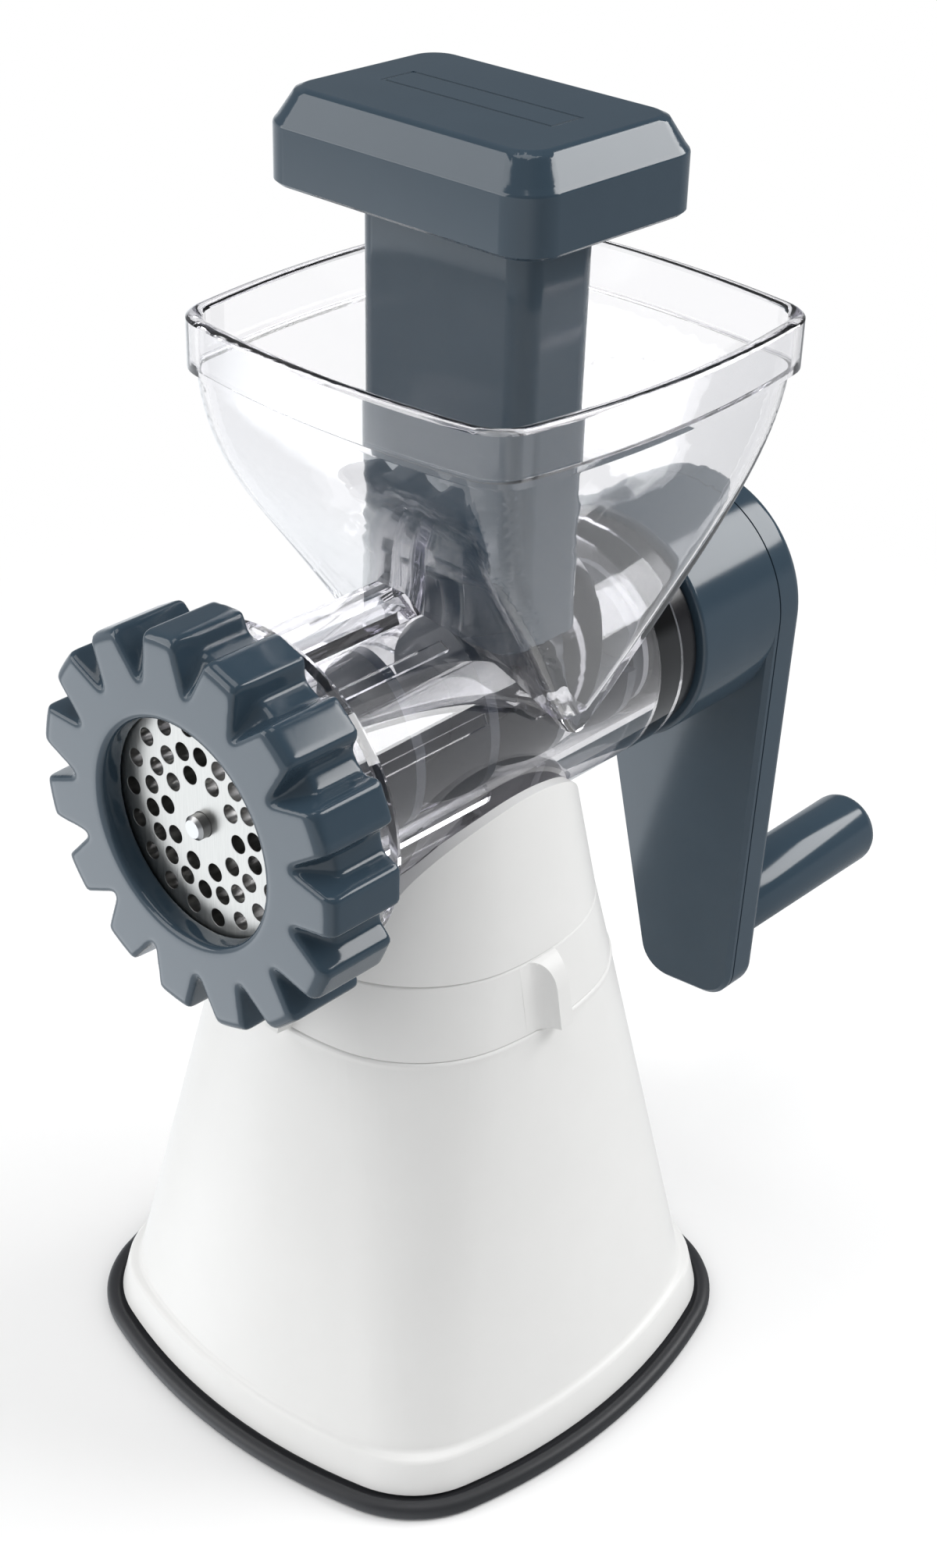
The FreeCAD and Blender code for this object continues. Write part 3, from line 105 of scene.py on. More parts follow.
def new_material(name):
    """An empty material with a Principled shader on its output."""
    material = bpy.data.materials.new(name)
    material.use_nodes = True
    tree = material.node_tree
    tree.nodes.clear()
    shader = tree.nodes.new("ShaderNodeBsdfPrincipled")
    output = tree.nodes.new("ShaderNodeOutputMaterial")
    join(tree, shader, "BSDF", output, "Surface")
    return material, tree, shader


# %% [markdown]
# ## A shared group for moulded plastic
# Injection moulding leaves three small marks: a faint cloudiness of the colour, a roughness that wanders a
# little, and a skin that is not quite flat. Each plastic could have its own nodes for them. One node group
# with named inputs gives all three to every plastic here, so a change to it reaches them all.

# %% Moulded skin group
CLOUD_SCALE = 60.0
MIX_FIRST, MIX_SECOND, MIX_COLOUR = 6, 7, 2


def make_moulded_skin():
    """Builds the group that puts out the colour, roughness and height of a moulded surface."""
    group = bpy.data.node_groups.new("moulded_skin", "ShaderNodeTree")
    for name, kind, value in (
        ("Light Colour", "NodeSocketColor", (0.5, 0.5, 0.5, 1)),
        ("Deep Colour", "NodeSocketColor", (0.4, 0.4, 0.4, 1)),
        ("Smooth", "NodeSocketFloat", 0.2),
        ("Rough", "NodeSocketFloat", 0.3),
        ("Skin Scale", "NodeSocketFloat", 900.0),
    ):
        socket = group.interface.new_socket(name, in_out="INPUT", socket_type=kind)
        socket.default_value = value
    for name, kind in (
        ("Colour", "NodeSocketColor"),
        ("Roughness", "NodeSocketFloat"),
        ("Height", "NodeSocketFloat"),
    ):
        group.interface.new_socket(name, in_out="OUTPUT", socket_type=kind)
    into = group.nodes.new("NodeGroupInput")
    out = group.nodes.new("NodeGroupOutput")
    place = group.nodes.new("ShaderNodeTexCoord")
    cloud = add(group, "ShaderNodeTexNoise", Scale=CLOUD_SCALE, Detail=3.0, Roughness=0.55)
    skin = add(group, "ShaderNodeTexNoise", Detail=2.0, Roughness=0.5)
    tint = group.nodes.new("ShaderNodeMix")
    tint.data_type = "RGBA"
    gloss = group.nodes.new("ShaderNodeMapRange")
    join(group, place, "Object", cloud, "Vector")
    join(group, place, "Object", skin, "Vector")
    join(group, into, "Skin Scale", skin, "Scale")
    join(group, cloud, "Fac", tint, "Factor")
    join(group, into, "Deep Colour", tint, MIX_FIRST)
    join(group, into, "Light Colour", tint, MIX_SECOND)
    join(group, tint, MIX_COLOUR, out, "Colour")
    join(group, skin, "Fac", gloss, "Value")
    join(group, into, "Smooth", gloss, "To Min")
    join(group, into, "Rough", gloss, "To Max")
    join(group, gloss, "Result", out, "Roughness")
    join(group, skin, "Fac", out, "Height")
    return group


moulded_skin = make_moulded_skin()
print("group sockets:", len(moulded_skin.interface.items_tree))

# %% [markdown]
# ## The plastics and the rubber
# The slate crank, pusher and nut, the white tower, the black bush, the dark feed screw and the pale inner
# pieces are all moulded, and so is the rubber of the foot. Each has two close tones of one colour. They
# differ in how polished their tool was and in the height of the skin, and the white one mirrors less.

# %% Plastics and rubber


def moulded_plastic(name, light, deep, smooth, rough, bump, skin=900.0, shine=0.5):
    """A plastic that uses the moulded skin, with a bump of so many millimetres."""
    material, tree, shader = new_material(name)
    group = tree.nodes.new("ShaderNodeGroup")
    group.node_tree = moulded_skin
    group.inputs["Light Colour"].default_value = (*light, 1)
    group.inputs["Deep Colour"].default_value = (*deep, 1)
    group.inputs["Smooth"].default_value = smooth
    group.inputs["Rough"].default_value = rough
    group.inputs["Skin Scale"].default_value = skin
    dent = add(tree, "ShaderNodeBump", Strength=0.25, Distance=bump * MM)
    join(tree, group, "Colour", shader, "Base Color")
    join(tree, group, "Roughness", shader, "Roughness")
    join(tree, group, "Height", dent, "Height")
    join(tree, dent, "Normal", shader, "Normal")
    shader.inputs["Specular IOR Level"].default_value = shine
    return material


slate = moulded_plastic("slate_plastic", light=(0.04, 0.0645, 0.089), deep=(0.034, 0.0555, 0.078),
                        smooth=0.1, rough=0.15, bump=0.012)
white = moulded_plastic("white_plastic", light=(0.83, 0.83, 0.82), deep=(0.8, 0.8, 0.79),
                        smooth=0.3, rough=0.38, bump=0.02, shine=0.3)
black = moulded_plastic("black_plastic", light=(0.012, 0.012, 0.014), deep=(0.008, 0.008, 0.01),
                        smooth=0.15, rough=0.25, bump=0.02)
rubber = moulded_plastic("foot_rubber", light=(0.03, 0.031, 0.035), deep=(0.022, 0.023, 0.026),
                         smooth=0.4, rough=0.55, bump=0.05, skin=1500.0)
feed = moulded_plastic("feed_plastic", light=(0.04, 0.048, 0.062), deep=(0.03, 0.037, 0.05),
                       smooth=0.25, rough=0.35, bump=0.03)
inner = moulded_plastic("inner_plastic", light=(0.6, 0.61, 0.63), deep=(0.55, 0.56, 0.58),
                        smooth=0.4, rough=0.5, bump=0.03)
print("materials so far:", len(bpy.data.materials))

# %% [markdown]
# ## Ground steel
# The disc, the cutter, the shaft and the screws are steel. Grinding leaves streaks, and a noise that is
# stretched in one direction draws them: its spread says how many waves go into a metre along x, y and z. The
# same noise moves the tone, the roughness and a very low bump, so the three marks fall in the same places.

# %% Ground steel
STEEL_GLOSS = (0.22, 0.4)
STEEL_BUMP = 0.02
EVEN_GRAIN = (300, 300, 300)


def calculate(tree, operation, kind="ShaderNodeMath"):
    """Adds a node that works out one sum."""
    node = tree.nodes.new(kind)
    node.operation = operation
    return node


def ground_steel(name, tone, spread, streak=(0.86, 1.1)):
    """Steel of one tone, whose streaks go from a darker to a lighter share of it."""
    material, tree, shader = new_material(name)
    place = tree.nodes.new("ShaderNodeTexCoord")
    stretch = add(tree, "ShaderNodeMapping", Scale=spread)
    grain = add(tree, "ShaderNodeTexNoise", Scale=1.0, Detail=4.0, Roughness=0.6)
    share = add(tree, "ShaderNodeMapRange", To_Min=streak[0], To_Max=streak[1])
    shade = calculate(tree, "SCALE", "ShaderNodeVectorMath")
    shade.inputs[0].default_value = tone
    gloss = add(tree, "ShaderNodeMapRange", To_Min=STEEL_GLOSS[0], To_Max=STEEL_GLOSS[1])
    dent = add(tree, "ShaderNodeBump", Strength=0.2, Distance=STEEL_BUMP * MM)
    join(tree, place, "Object", stretch, "Vector")
    join(tree, stretch, "Vector", grain, "Vector")
    join(tree, grain, "Fac", share, "Value")
    join(tree, share, "Result", shade, "Scale")
    join(tree, shade, "Vector", shader, "Base Color")
    join(tree, grain, "Fac", gloss, "Value")
    join(tree, gloss, "Result", shader, "Roughness")
    join(tree, grain, "Fac", dent, "Height")
    join(tree, dent, "Normal", shader, "Normal")
    shader.inputs["Metallic"].default_value = 1.0
    return material


steel = ground_steel("steel", (0.42, 0.42, 0.42), EVEN_GRAIN)
disc_steel = ground_steel("disc_steel", (0.37, 0.366, 0.352), (2600, 120, 120), streak=(0.7, 1.25))
# painted shade: the cutter's steel is darker than the disc's only to paint the barrel's shade behind the
# holes
blade_steel_painted_shade = ground_steel("blade_steel_painted_shade", (0.25, 0.25, 0.26), EVEN_GRAIN)
print("steels:", steel.name, disc_steel.name, blade_steel_painted_shade.name)

# %% [markdown]
# ## Clear plastic
# Hopper and barrel are one clear moulding. The shader lets light through and bends it, a noise makes the
# gloss wander like a faint haze, and a weak absorption gives thick places their violet grey tint. Bent light
# takes long to find its way to a lamp, so shadow rays and diffuse rays pass straight through instead.

# %% Clear plastic


def choose(tree, test, out, usual, other):
    """Mixes two shaders: the other one shows where the test says 1."""
    mix = tree.nodes.new("ShaderNodeMixShader")
    join(tree, test, out, mix, "Fac")
    join(tree, usual, 0, mix, 1)
    join(tree, other, 0, mix, 2)
    return mix


def clear_resin(name):
    """Clear plastic with a coat, a little haze and a tint that grows with its thickness."""
    material, tree, shader = new_material(name)
    place = tree.nodes.new("ShaderNodeTexCoord")
    haze = add(tree, "ShaderNodeTexNoise", Scale=45.0, Detail=4.0)
    gloss = add(tree, "ShaderNodeMapRange", To_Min=0.0, To_Max=0.05)
    join(tree, place, "Object", haze, "Vector")
    join(tree, haze, "Fac", gloss, "Value")
    join(tree, gloss, "Result", shader, "Roughness")
    shader.inputs["Base Color"].default_value = (0.98, 0.98, 0.99, 1)
    shader.inputs["Transmission Weight"].default_value = 1.0
    shader.inputs["IOR"].default_value = 1.42
    shader.inputs["Coat Weight"].default_value = 1.0
    shader.inputs["Coat Roughness"].default_value = 0.02
    tint = add(tree, "ShaderNodeVolumeAbsorption", Color=(0.62, 0.6, 0.7, 1), Density=10.0)
    through = add(tree, "ShaderNodeBsdfTransparent", Color=(0.95, 0.95, 0.96, 1))
    path = tree.nodes.new("ShaderNodeLightPath")
    straight = calculate(tree, "MAXIMUM")
    join(tree, path, "Is Shadow Ray", straight, 0)
    join(tree, path, "Is Diffuse Ray", straight, 1)
    output = next(node for node in tree.nodes if node.bl_idname == "ShaderNodeOutputMaterial")
    join(tree, choose(tree, straight, 0, shader, through), "Shader", output, "Surface")
    join(tree, tint, "Volume", output, "Volume")
    return material


clear = clear_resin("clear_plastic")
print("clear plastic nodes:", len(clear.node_tree.nodes))

# %% [markdown]
# ## A finish for every solid
# The record names a finish for each solid, and the solids keep their meshes as they are: only their material
# slot is filled. The cutter alone gets a steel of its own, darker than the disc in front of it: painted
# shade, because it stands in the shade of the barrel and should show as dark behind the holes.

# %% Give every imported node its finish
finish_of = {
    "slate_plastic": slate,
    "white_plastic": white,
    "black_plastic": black,
    "foot_rubber": rubber,
    "feed_plastic": feed,
    "inner_plastic": inner,
    "steel": steel,
    "disc_steel": disc_steel,
    "clear_plastic": clear,
}
# the cutter's darker steel is painted shade
finish_of_node = {"cutter_blade": blade_steel_painted_shade}
slot_of_node = {row["node"]: row["material_slot"] for row in record["subparts"]}
for node, slot in slot_of_node.items():
    mesh = nodes[node].data
    mesh.materials.clear()
    mesh.materials.append(finish_of_node.get(node, finish_of[slot]))
print("finished nodes:", len(slot_of_node))

# %% [markdown]
# ## Copies of the solids
# No moulded part has knife edges: the corners of its tool are rounded, and each rounding catches a line of
# light. The solids already have the shapes, so a visible one is copied instead of being modelled again. The
# copy's loose triangles are merged and its flat faces joined, and then it can be worked on as by hand.

# %% Copying a solid
MERGE = 0.002


def only(piece):
    """Makes one object the sole selected and active one."""
    bpy.ops.object.select_all(action="DESELECT")
    piece.select_set(True)
    bpy.context.view_layer.objects.active = piece


def copy_of(node, name, flat=0.4):
    """Copies a solid, merges its loose triangles and joins faces that are flat to so many degrees."""
    piece = bpy.data.objects.new(name, nodes[node].data.copy())
    piece.data.name = name
    scene.collection.objects.link(piece)
    only(piece)
    bpy.ops.object.mode_set(mode="EDIT")
    bpy.ops.mesh.select_all(action="SELECT")
    bpy.ops.mesh.customdata_custom_splitnormals_clear()
    bpy.ops.mesh.remove_doubles(threshold=MERGE * MM)
    bpy.ops.mesh.dissolve_limited(angle_limit=math.radians(flat))
    bpy.ops.object.mode_set(mode="OBJECT")
    return piece


# %% [markdown]
# ## Rounding edges by their place
# With a mouse one would click on the edges to round. A script tests each edge instead: it is sharp when its
# two faces meet at an angle, and its middle tells where on the piece it lies. The chosen edges are bevelled.
# Weighted normals then keep the large faces flat beside the narrow roundings.

# %% Picking and rounding edges


def pick(piece, kind, test):
    """Enters edit mode and leaves selected the verts, edges or faces that pass a test."""
    only(piece)
    bpy.ops.object.mode_set(mode="EDIT")
    bpy.ops.mesh.select_mode(type=kind)
    bpy.ops.mesh.select_all(action="DESELECT")
    mesh = bmesh.from_edit_mesh(piece.data)
    found = 0
    for item in {"VERT": mesh.verts, "EDGE": mesh.edges, "FACE": mesh.faces}[kind]:
        item.select = test(item)
        found += item.select
    mesh.select_flush_mode()
    bmesh.update_edit_mesh(piece.data)
    return found


def middle(edge):
    """The middle of an edge, in millimetres."""
    return (edge.verts[0].co + edge.verts[1].co) / 2 / MM


def is_sharp(edge, degrees):
    """True where two faces meet at more than so many degrees."""
    return len(edge.link_faces) == 2 and edge.calc_face_angle(0.0) > math.radians(degrees)


def round_edges(piece, width, where=lambda place: True, segments=3, sharp=28.0, clamp=True):
    """Bevels the sharp edges whose middle passes the test, by a width in millimetres."""
    found = pick(piece, "EDGE", lambda edge: is_sharp(edge, sharp) and where(middle(edge)))
    if found:
        bpy.ops.mesh.bevel(offset=width * MM, segments=segments, affect="EDGES", clamp_overlap=clamp,
                           miter_outer="ARC")
    bpy.ops.object.mode_set(mode="OBJECT")
    print(piece.name, "edges rounded:", found)


def flatten_shading(piece, angle=40.0):
    """Smooth shading that keeps large flat faces flat beside their rounded edges."""
    only(piece)
    bpy.ops.object.shade_smooth_by_angle(angle=math.radians(angle))
    even = piece.modifiers.new("flat_faces", "WEIGHTED_NORMAL")
    even.keep_sharp = True
    bpy.ops.object.modifier_apply(modifier=even.name)


# %% [markdown]
# ## Taking a solid's place
# A dressed piece has to move with its joint. So it rides on the body of the solid that it was made from,
# names the solids that it stands for, and takes over their finish.

# %% Taking a solid's place
body_of_node = {}
for body, names in record["behaviour"]["bodies"].items():
    for node in names:
        body_of_node[node] = body


def stand_for(piece, *names):
    """The piece takes the place, the body and the finish of the solids it was made from."""
    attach(piece, body_of_node[names[0]])
    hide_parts(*names)
    piece.data.materials.clear()
    piece.data.materials.append(finish_of[slot_of_node[names[0]]])
    print(piece.name, "faces:", len(piece.data.polygons))


print("nodes with a body:", len(body_of_node))

# %% [markdown]
# ## The white tower
# A hollow moulding that widens down to a skirt. Its deck, on which the lock band stands, is a touch wider
# than the band, and this narrow ledge shows as a line of light. A bisect cuts the wall a little below the
# deck, so that only the strip above the cut flares when the deck's outline is drawn out. Then the skirt's
# shoulder and the ledge get the small radius of a polished tool.

# %% Tower
OUTER_REACH = 38.0
LEDGE = 0.6
LEDGE_DROP = 2.4
LEDGE_ROUND = 1.0
SHOULDER_LOW, SHOULDER_HIGH = 12.0, 20.0
SHOULDER_ROUND = 0.8
NEAR = 1.0
band_low, band_high = (corner[2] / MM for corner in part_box("lock_ring"))
deck_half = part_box("lock_ring")[1][0] / MM


def outside(place):
    """True on the outer walls, which lie far from the upright axis."""
    return math.hypot(place.x, place.y) > OUTER_REACH


def on_deck(place):
    """True on the outline on which the band stands."""
    return abs(place.z - band_low) < NEAR and outside(place)


def on_shoulder(place):
    return SHOULDER_LOW < place.z < SHOULDER_HIGH and outside(place)


tower = copy_of("base_shell", "tower")
pick(tower, "FACE", lambda face: True)
bpy.ops.mesh.bisect(plane_co=(0, 0, (band_low - LEDGE_DROP) * MM), plane_no=(0, 0, 1))
bpy.ops.object.mode_set(mode="OBJECT")
ledge_verts = pick(tower, "VERT", lambda vert: on_deck(vert.co / MM))
share = 1 + LEDGE / deck_half
bpy.ops.transform.resize(value=(share, share, 1), center_override=(0, 0, 0))
bpy.ops.object.mode_set(mode="OBJECT")
print("ledge verts:", ledge_verts)
round_edges(tower, SHOULDER_ROUND, on_shoulder)
round_edges(tower, LEDGE_ROUND, on_deck, segments=5, clamp=False)
flatten_shading(tower)
stand_for(tower, "base_shell")

# %% [markdown]
# ## The lock band
# A low ring with finger tabs, which turns on the tower's deck to draw the suction foot up. The scoop beside
# each tab runs out into the band in a step too small to round, so the verts of that step are welded first.
# The upper rim shows most and gets the larger rounding.

# %% Lock band
SCOOP_END = (8.2, 9.0)
STEP = 0.3
RIM_DEPTH = 0.2
BAND_RIM_ROUND = 0.8
BAND_ROUND = 0.6


def at_scoop_end(vert):
    """True where the scoop beside a finger tab runs out into the band."""
    across, out = sorted((abs(vert.co.x) / MM, abs(vert.co.y) / MM))
    return out > OUTER_REACH and SCOOP_END[0] < across < SCOOP_END[1]


def on_band_rim(place):
    return place.z > band_high - RIM_DEPTH and outside(place)


def below_band_rim(place):
    return place.z < band_high - NEAR and outside(place)


lock_band = copy_of("lock_ring", "lock_band")
step_verts = pick(lock_band, "VERT", at_scoop_end)
bpy.ops.mesh.remove_doubles(threshold=STEP * MM)
bpy.ops.object.mode_set(mode="OBJECT")
print("scoop end verts:", step_verts)
round_edges(lock_band, BAND_RIM_ROUND, on_band_rim, segments=4, clamp=False)
round_edges(lock_band, BAND_ROUND, below_band_rim)
flatten_shading(lock_band)
stand_for(lock_band, "lock_ring")

# %% [markdown]
# ## The saddle
# The upper end of the tower, which holds the barrel between two round tongues. Its lowest edge stays crisp,
# so that the joint with the lock band shows as a fine line, and all the edges above it are rounded.

# %% Saddle
SADDLE_ROUND_FROM = 140.0
SADDLE_ROUND = 0.9
saddle = copy_of("cradle", "saddle")
round_edges(saddle, SADDLE_ROUND, lambda place: place.z > SADDLE_ROUND_FROM)
flatten_shading(saddle)
stand_for(saddle, "cradle")

# %% [markdown]
# ## The rubber foot
# A soft rim under the skirt: a rounded lip outside and a groove inside it, where the white skirt sits. The
# rim could be swept along a curve. Here the lowest outline of the solid is kept, so that the corners agree,
# and it grows ring by ring: an extrusion lifts the outline, a resize draws it in, and a bridge closes the
# last ring to the first. The profile lists heights and insets, from the floor over the lip to the inside.

# %% Foot rim
FOOT_PROFILE = [
    (0.0, 0.6), (0.25, 0.15), (0.8, 0.02), (2.0, 0.06),
    (2.8, 0.35), (3.4, 0.95), (3.7, 1.7), (3.75, 2.4),
    (3.55, 3.0), (3.1, 3.45), (2.9, 3.9), (2.9, 4.9),
    (3.4, 5.2), (3.95, 5.3), (3.95, 11.8), (0.0, 11.8),
]
FLOOR_TOUCH = 0.01
WALL_SLOPE = 0.1
FOOT_SMOOTH = 50
foot_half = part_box("foot_seal")[1][0] / MM


def on_lowest_outline(edge):
    """True for the outer edges that lie on the floor."""
    if max(abs(vert.co.z) for vert in edge.verts) > FLOOR_TOUCH * MM:
        return False
    outward = edge.verts[0].co
    return any(abs(face.normal.z) < WALL_SLOPE and face.normal.dot(outward) > 0 for face in edge.link_faces)


def on_border(edge):
    return len(edge.link_faces) == 1


foot_rim = copy_of("foot_seal", "foot_rim")
outline_edges = pick(foot_rim, "EDGE", on_lowest_outline)
bpy.ops.mesh.select_all(action="INVERT")
bpy.ops.mesh.delete(type="EDGE")
bpy.ops.mesh.select_all(action="SELECT")
height, inset = 0.0, 0.0
for number, (next_height, next_inset) in enumerate(FOOT_PROFILE):
    if number:
        lift = (0, 0, (next_height - height) * MM)
        bpy.ops.mesh.extrude_edges_move(TRANSFORM_OT_translate={"value": lift})
    share = (foot_half - next_inset) / (foot_half - inset)
    bpy.ops.transform.resize(value=(share, share, 1), center_override=(0, 0, 0))
    height, inset = next_height, next_inset
bpy.ops.object.mode_set(mode="OBJECT")
pick(foot_rim, "EDGE", on_border)
bpy.ops.mesh.bridge_edge_loops()
bpy.ops.mesh.select_all(action="SELECT")
bpy.ops.mesh.normals_make_consistent(inside=False)
bpy.ops.object.mode_set(mode="OBJECT")
print("outline edges:", outline_edges)
bpy.ops.object.shade_smooth_by_angle(angle=math.radians(FOOT_SMOOTH))
stand_for(foot_rim, "foot_seal")

# %% [markdown]
# ## The ring nut
# Fifteen lobes with notches that run out over the front. Everything on it is soft to the hand, with roundings
# that flow into each other, and a bevel can't follow so many short edges. So the copy is rebuilt from small
# cells and smoothed, which rounds every edge alike. A last resize along the axis draws its front back by a
# hair, because cells can swell a little past the solid.

# %% Ring nut
CELL = 0.55
SMOOTH_PASSES = 18
NUT_SHARE = 0.999


def rebuild_soft(piece, cell, passes):
    """Rebuilds a closed shape from small cells, in millimetres, and smooths its edges."""
    only(piece)
    cells = piece.modifiers.new("cells", "REMESH")
    cells.mode = "VOXEL"
    cells.voxel_size = cell * MM
    bpy.ops.object.modifier_apply(modifier=cells.name)
    smooth = piece.modifiers.new("smooth", "SMOOTH")
    smooth.factor = 0.5
    smooth.iterations = passes
    bpy.ops.object.modifier_apply(modifier=smooth.name)
    bpy.ops.object.shade_smooth()


nut_shell = copy_of("ring_nut", "nut_shell")
rebuild_soft(nut_shell, CELL, SMOOTH_PASSES)
nut_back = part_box("ring_nut")[1][1]
pick(nut_shell, "VERT", lambda vert: True)
bpy.ops.transform.resize(value=(1, NUT_SHARE, 1), center_override=(0, nut_back, 0))
bpy.ops.object.mode_set(mode="OBJECT")
stand_for(nut_shell, "ring_nut")

# %% [markdown]
# ## The pusher's cap
# A broad cap for the palm, with slopes all round its flat top. The edges of the top and the upper edges of
# the sides are rounded in two goes, because the top is softer to the hand.

# %% Pusher cap, rounded
CAP_TOP_ROUND = 2.4
CAP_SIDE_ROUND = 1.3
CAP_SLOPE_DEPTHS = (5, 16)
CAP_SHARP = 14
RIM_NEAR = 0.1
cap_low, cap_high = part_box("pusher_cap")
cap_top = cap_high[2] / MM


def on_cap_rim(place):
    return place.z > cap_top - RIM_NEAR


def under_slope(place):
    """True at the depth under the top where the slopes end on the sides."""
    return cap_top - CAP_SLOPE_DEPTHS[1] < place.z < cap_top - CAP_SLOPE_DEPTHS[0]


pusher_cap = copy_of("pusher_cap", "pusher_cap_shell")
round_edges(pusher_cap, CAP_TOP_ROUND, on_cap_rim, segments=5, sharp=CAP_SHARP)
round_edges(pusher_cap, CAP_SIDE_ROUND, under_slope, segments=4, sharp=CAP_SHARP)

# %% [markdown]
# ## The line on the cap
# The cap's top carries a shallow rectangular line. A bump in the material would only paint it, so it is cut:
# the top face is bisected along four straight lines, the middle is inset, and the ring between them is
# pushed down.

# %% Line on the cap
PANEL_HALF = (25.0, 5.2)
PANEL_LINE = 0.9
PANEL_DEPTH = 0.2
LEVEL = 0.999
TOP_NEAR = 0.05
cap_mid = Vector(((cap_low[0] + cap_high[0]) / 2, (cap_low[1] + cap_high[1]) / 2, 0)) / MM


def on_top(face):
    """True for the cap's flat top."""
    return face.normal.z > LEVEL and face.calc_center_median().z / MM > cap_top - TOP_NEAR


def past_panel(face, margin=0.0):
    """How far a face's middle lies past the rectangle, drawn in by a margin. Inside it is below zero."""
    place = face.calc_center_median() / MM - cap_mid
    return max(abs(place.x) - PANEL_HALF[0] + margin, abs(place.y) - PANEL_HALF[1] + margin)


def in_panel(face):
    return on_top(face) and past_panel(face) < 0


def in_line(face):
    return in_panel(face) and past_panel(face, PANEL_LINE) > 0


for axis in (0, 1):
    for end in (-1, 1):
        point = cap_mid.copy()
        point[axis] += end * PANEL_HALF[axis]
        across = Vector((0, 0, 0))
        across[axis] = 1
        pick(pusher_cap, "FACE", on_top)
        bpy.ops.mesh.bisect(plane_co=point * MM, plane_no=across)
        bpy.ops.object.mode_set(mode="OBJECT")
panel_faces = pick(pusher_cap, "FACE", in_panel)
bpy.ops.mesh.inset(thickness=PANEL_LINE * MM)
bpy.ops.object.mode_set(mode="OBJECT")
line_faces = pick(pusher_cap, "FACE", in_line)
bpy.ops.mesh.extrude_region_move(TRANSFORM_OT_translate={"value": (0, 0, -PANEL_DEPTH * MM)})
bpy.ops.object.mode_set(mode="OBJECT")
print("panel faces:", panel_faces, "line faces:", line_faces)
flatten_shading(pusher_cap)
stand_for(pusher_cap, "pusher_cap")

# %% [markdown]
# ## The pusher's stem
# The hollow stem goes down into the hopper. Its edges below the cap are rounded, and its upper end, which is
# hidden in the cap, is left plain.

# %% Pusher stem
STEM_ROUND = 1.0
STEM_PLAIN = 24
pusher_column = copy_of("pusher_stem", "pusher_column")
round_edges(pusher_column, STEM_ROUND, lambda place: place.z < cap_top - STEM_PLAIN)
flatten_shading(pusher_column)
stand_for(pusher_column, "pusher_stem")

# %% [markdown]
# ## The crank's front half
# Hub and arm are two half shells, and a thin dark line runs round them near their joint. It could be a gap
# between the halves, but it lies a little in front of that, so it is a groove in the front half: two bisects
# cut rings round the arm, and the strip between them, on the walls that look outward, is pushed in.

# %% Crank front
FRONT_ROUND = 1.0
FRONT_SHARP = 20
FRONT_EDGES = 4.4
GROOVE_WIDTH = 0.5
GROOVE_DEPTH = 0.7
GROOVE_FORWARD = 3.4
SIDE_WALL_SLOPE = 0.3


def joint_place(name):
    """Where the record puts a joint."""
    return next(Vector(joint["pos_m"]) for joint in record["behaviour"]["joints"] if joint["name"] == name)


hub_axis = joint_place("crank_turn")
grip_axis = joint_place("grip_turn")
arm_down = Vector((grip_axis.x - hub_axis.x, 0, grip_axis.z - hub_axis.z)).normalized()
seam_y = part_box("crank_shell")[1][1] / MM
groove_y = seam_y - GROOVE_FORWARD


def faces_out(face):
    """True for a side wall of the crank that looks away from its middle line."""
    place = face.calc_center_median() - hub_axis
    along = min(max(place.dot(arm_down), 0.0), (grip_axis - hub_axis).dot(arm_down))
    return abs(face.normal.y) < SIDE_WALL_SLOPE and face.normal.dot(place - arm_down * along) > 0


def in_groove(face):
    return faces_out(face) and abs(face.calc_center_median().y / MM - groove_y) < GROOVE_WIDTH / 2


def cut_groove(piece):
    """Cuts two rings round the arm and pushes the strip between them in."""
    for end in (-1, 1):
        pick(piece, "FACE", lambda face: True)
        ring_y = groove_y + end * GROOVE_WIDTH / 2
        bpy.ops.mesh.bisect(plane_co=(0, ring_y * MM, 0), plane_no=(0, 1, 0))
        bpy.ops.object.mode_set(mode="OBJECT")
    found = pick(piece, "FACE", in_groove)
    bpy.ops.mesh.extrude_region_shrink_fatten(TRANSFORM_OT_shrink_fatten={"value": -GROOVE_DEPTH * MM})
    bpy.ops.object.mode_set(mode="OBJECT")
    print(piece.name, "groove faces:", found)


crank_front = copy_of("crank_shell", "crank_front")
round_edges(crank_front, FRONT_ROUND, lambda place: place.y < seam_y - FRONT_EDGES, sharp=FRONT_SHARP)
cut_groove(crank_front)
flatten_shading(crank_front)
stand_for(crank_front, "crank_shell")

# %% [markdown]
# ## The crank's back half
# The back half closes the arm. Only its outer rim, well behind the joint, is rounded.

# %% Crank back
BACK_ROUND = 0.7
BACK_SHARP = 14
BACK_EDGES = 2.0
crank_back = copy_of("crank_cover", "crank_back")
round_edges(crank_back, BACK_ROUND, lambda place: place.y > seam_y + BACK_EDGES, sharp=BACK_SHARP)
flatten_shading(crank_back)
stand_for(crank_back, "crank_cover")

# %% [markdown]
# ## The grip
# A round handle that turns on its screw. A spin would also make it. Here it starts as a disc at the bottom of
# the pocket for the screw's head and grows ring by ring, out of the bore, over the front and along the
# outside: each extrusion moves the ring along the axis and a resize gives it the radius of that place. The
# profile lists distances from the grip's front, and radii.

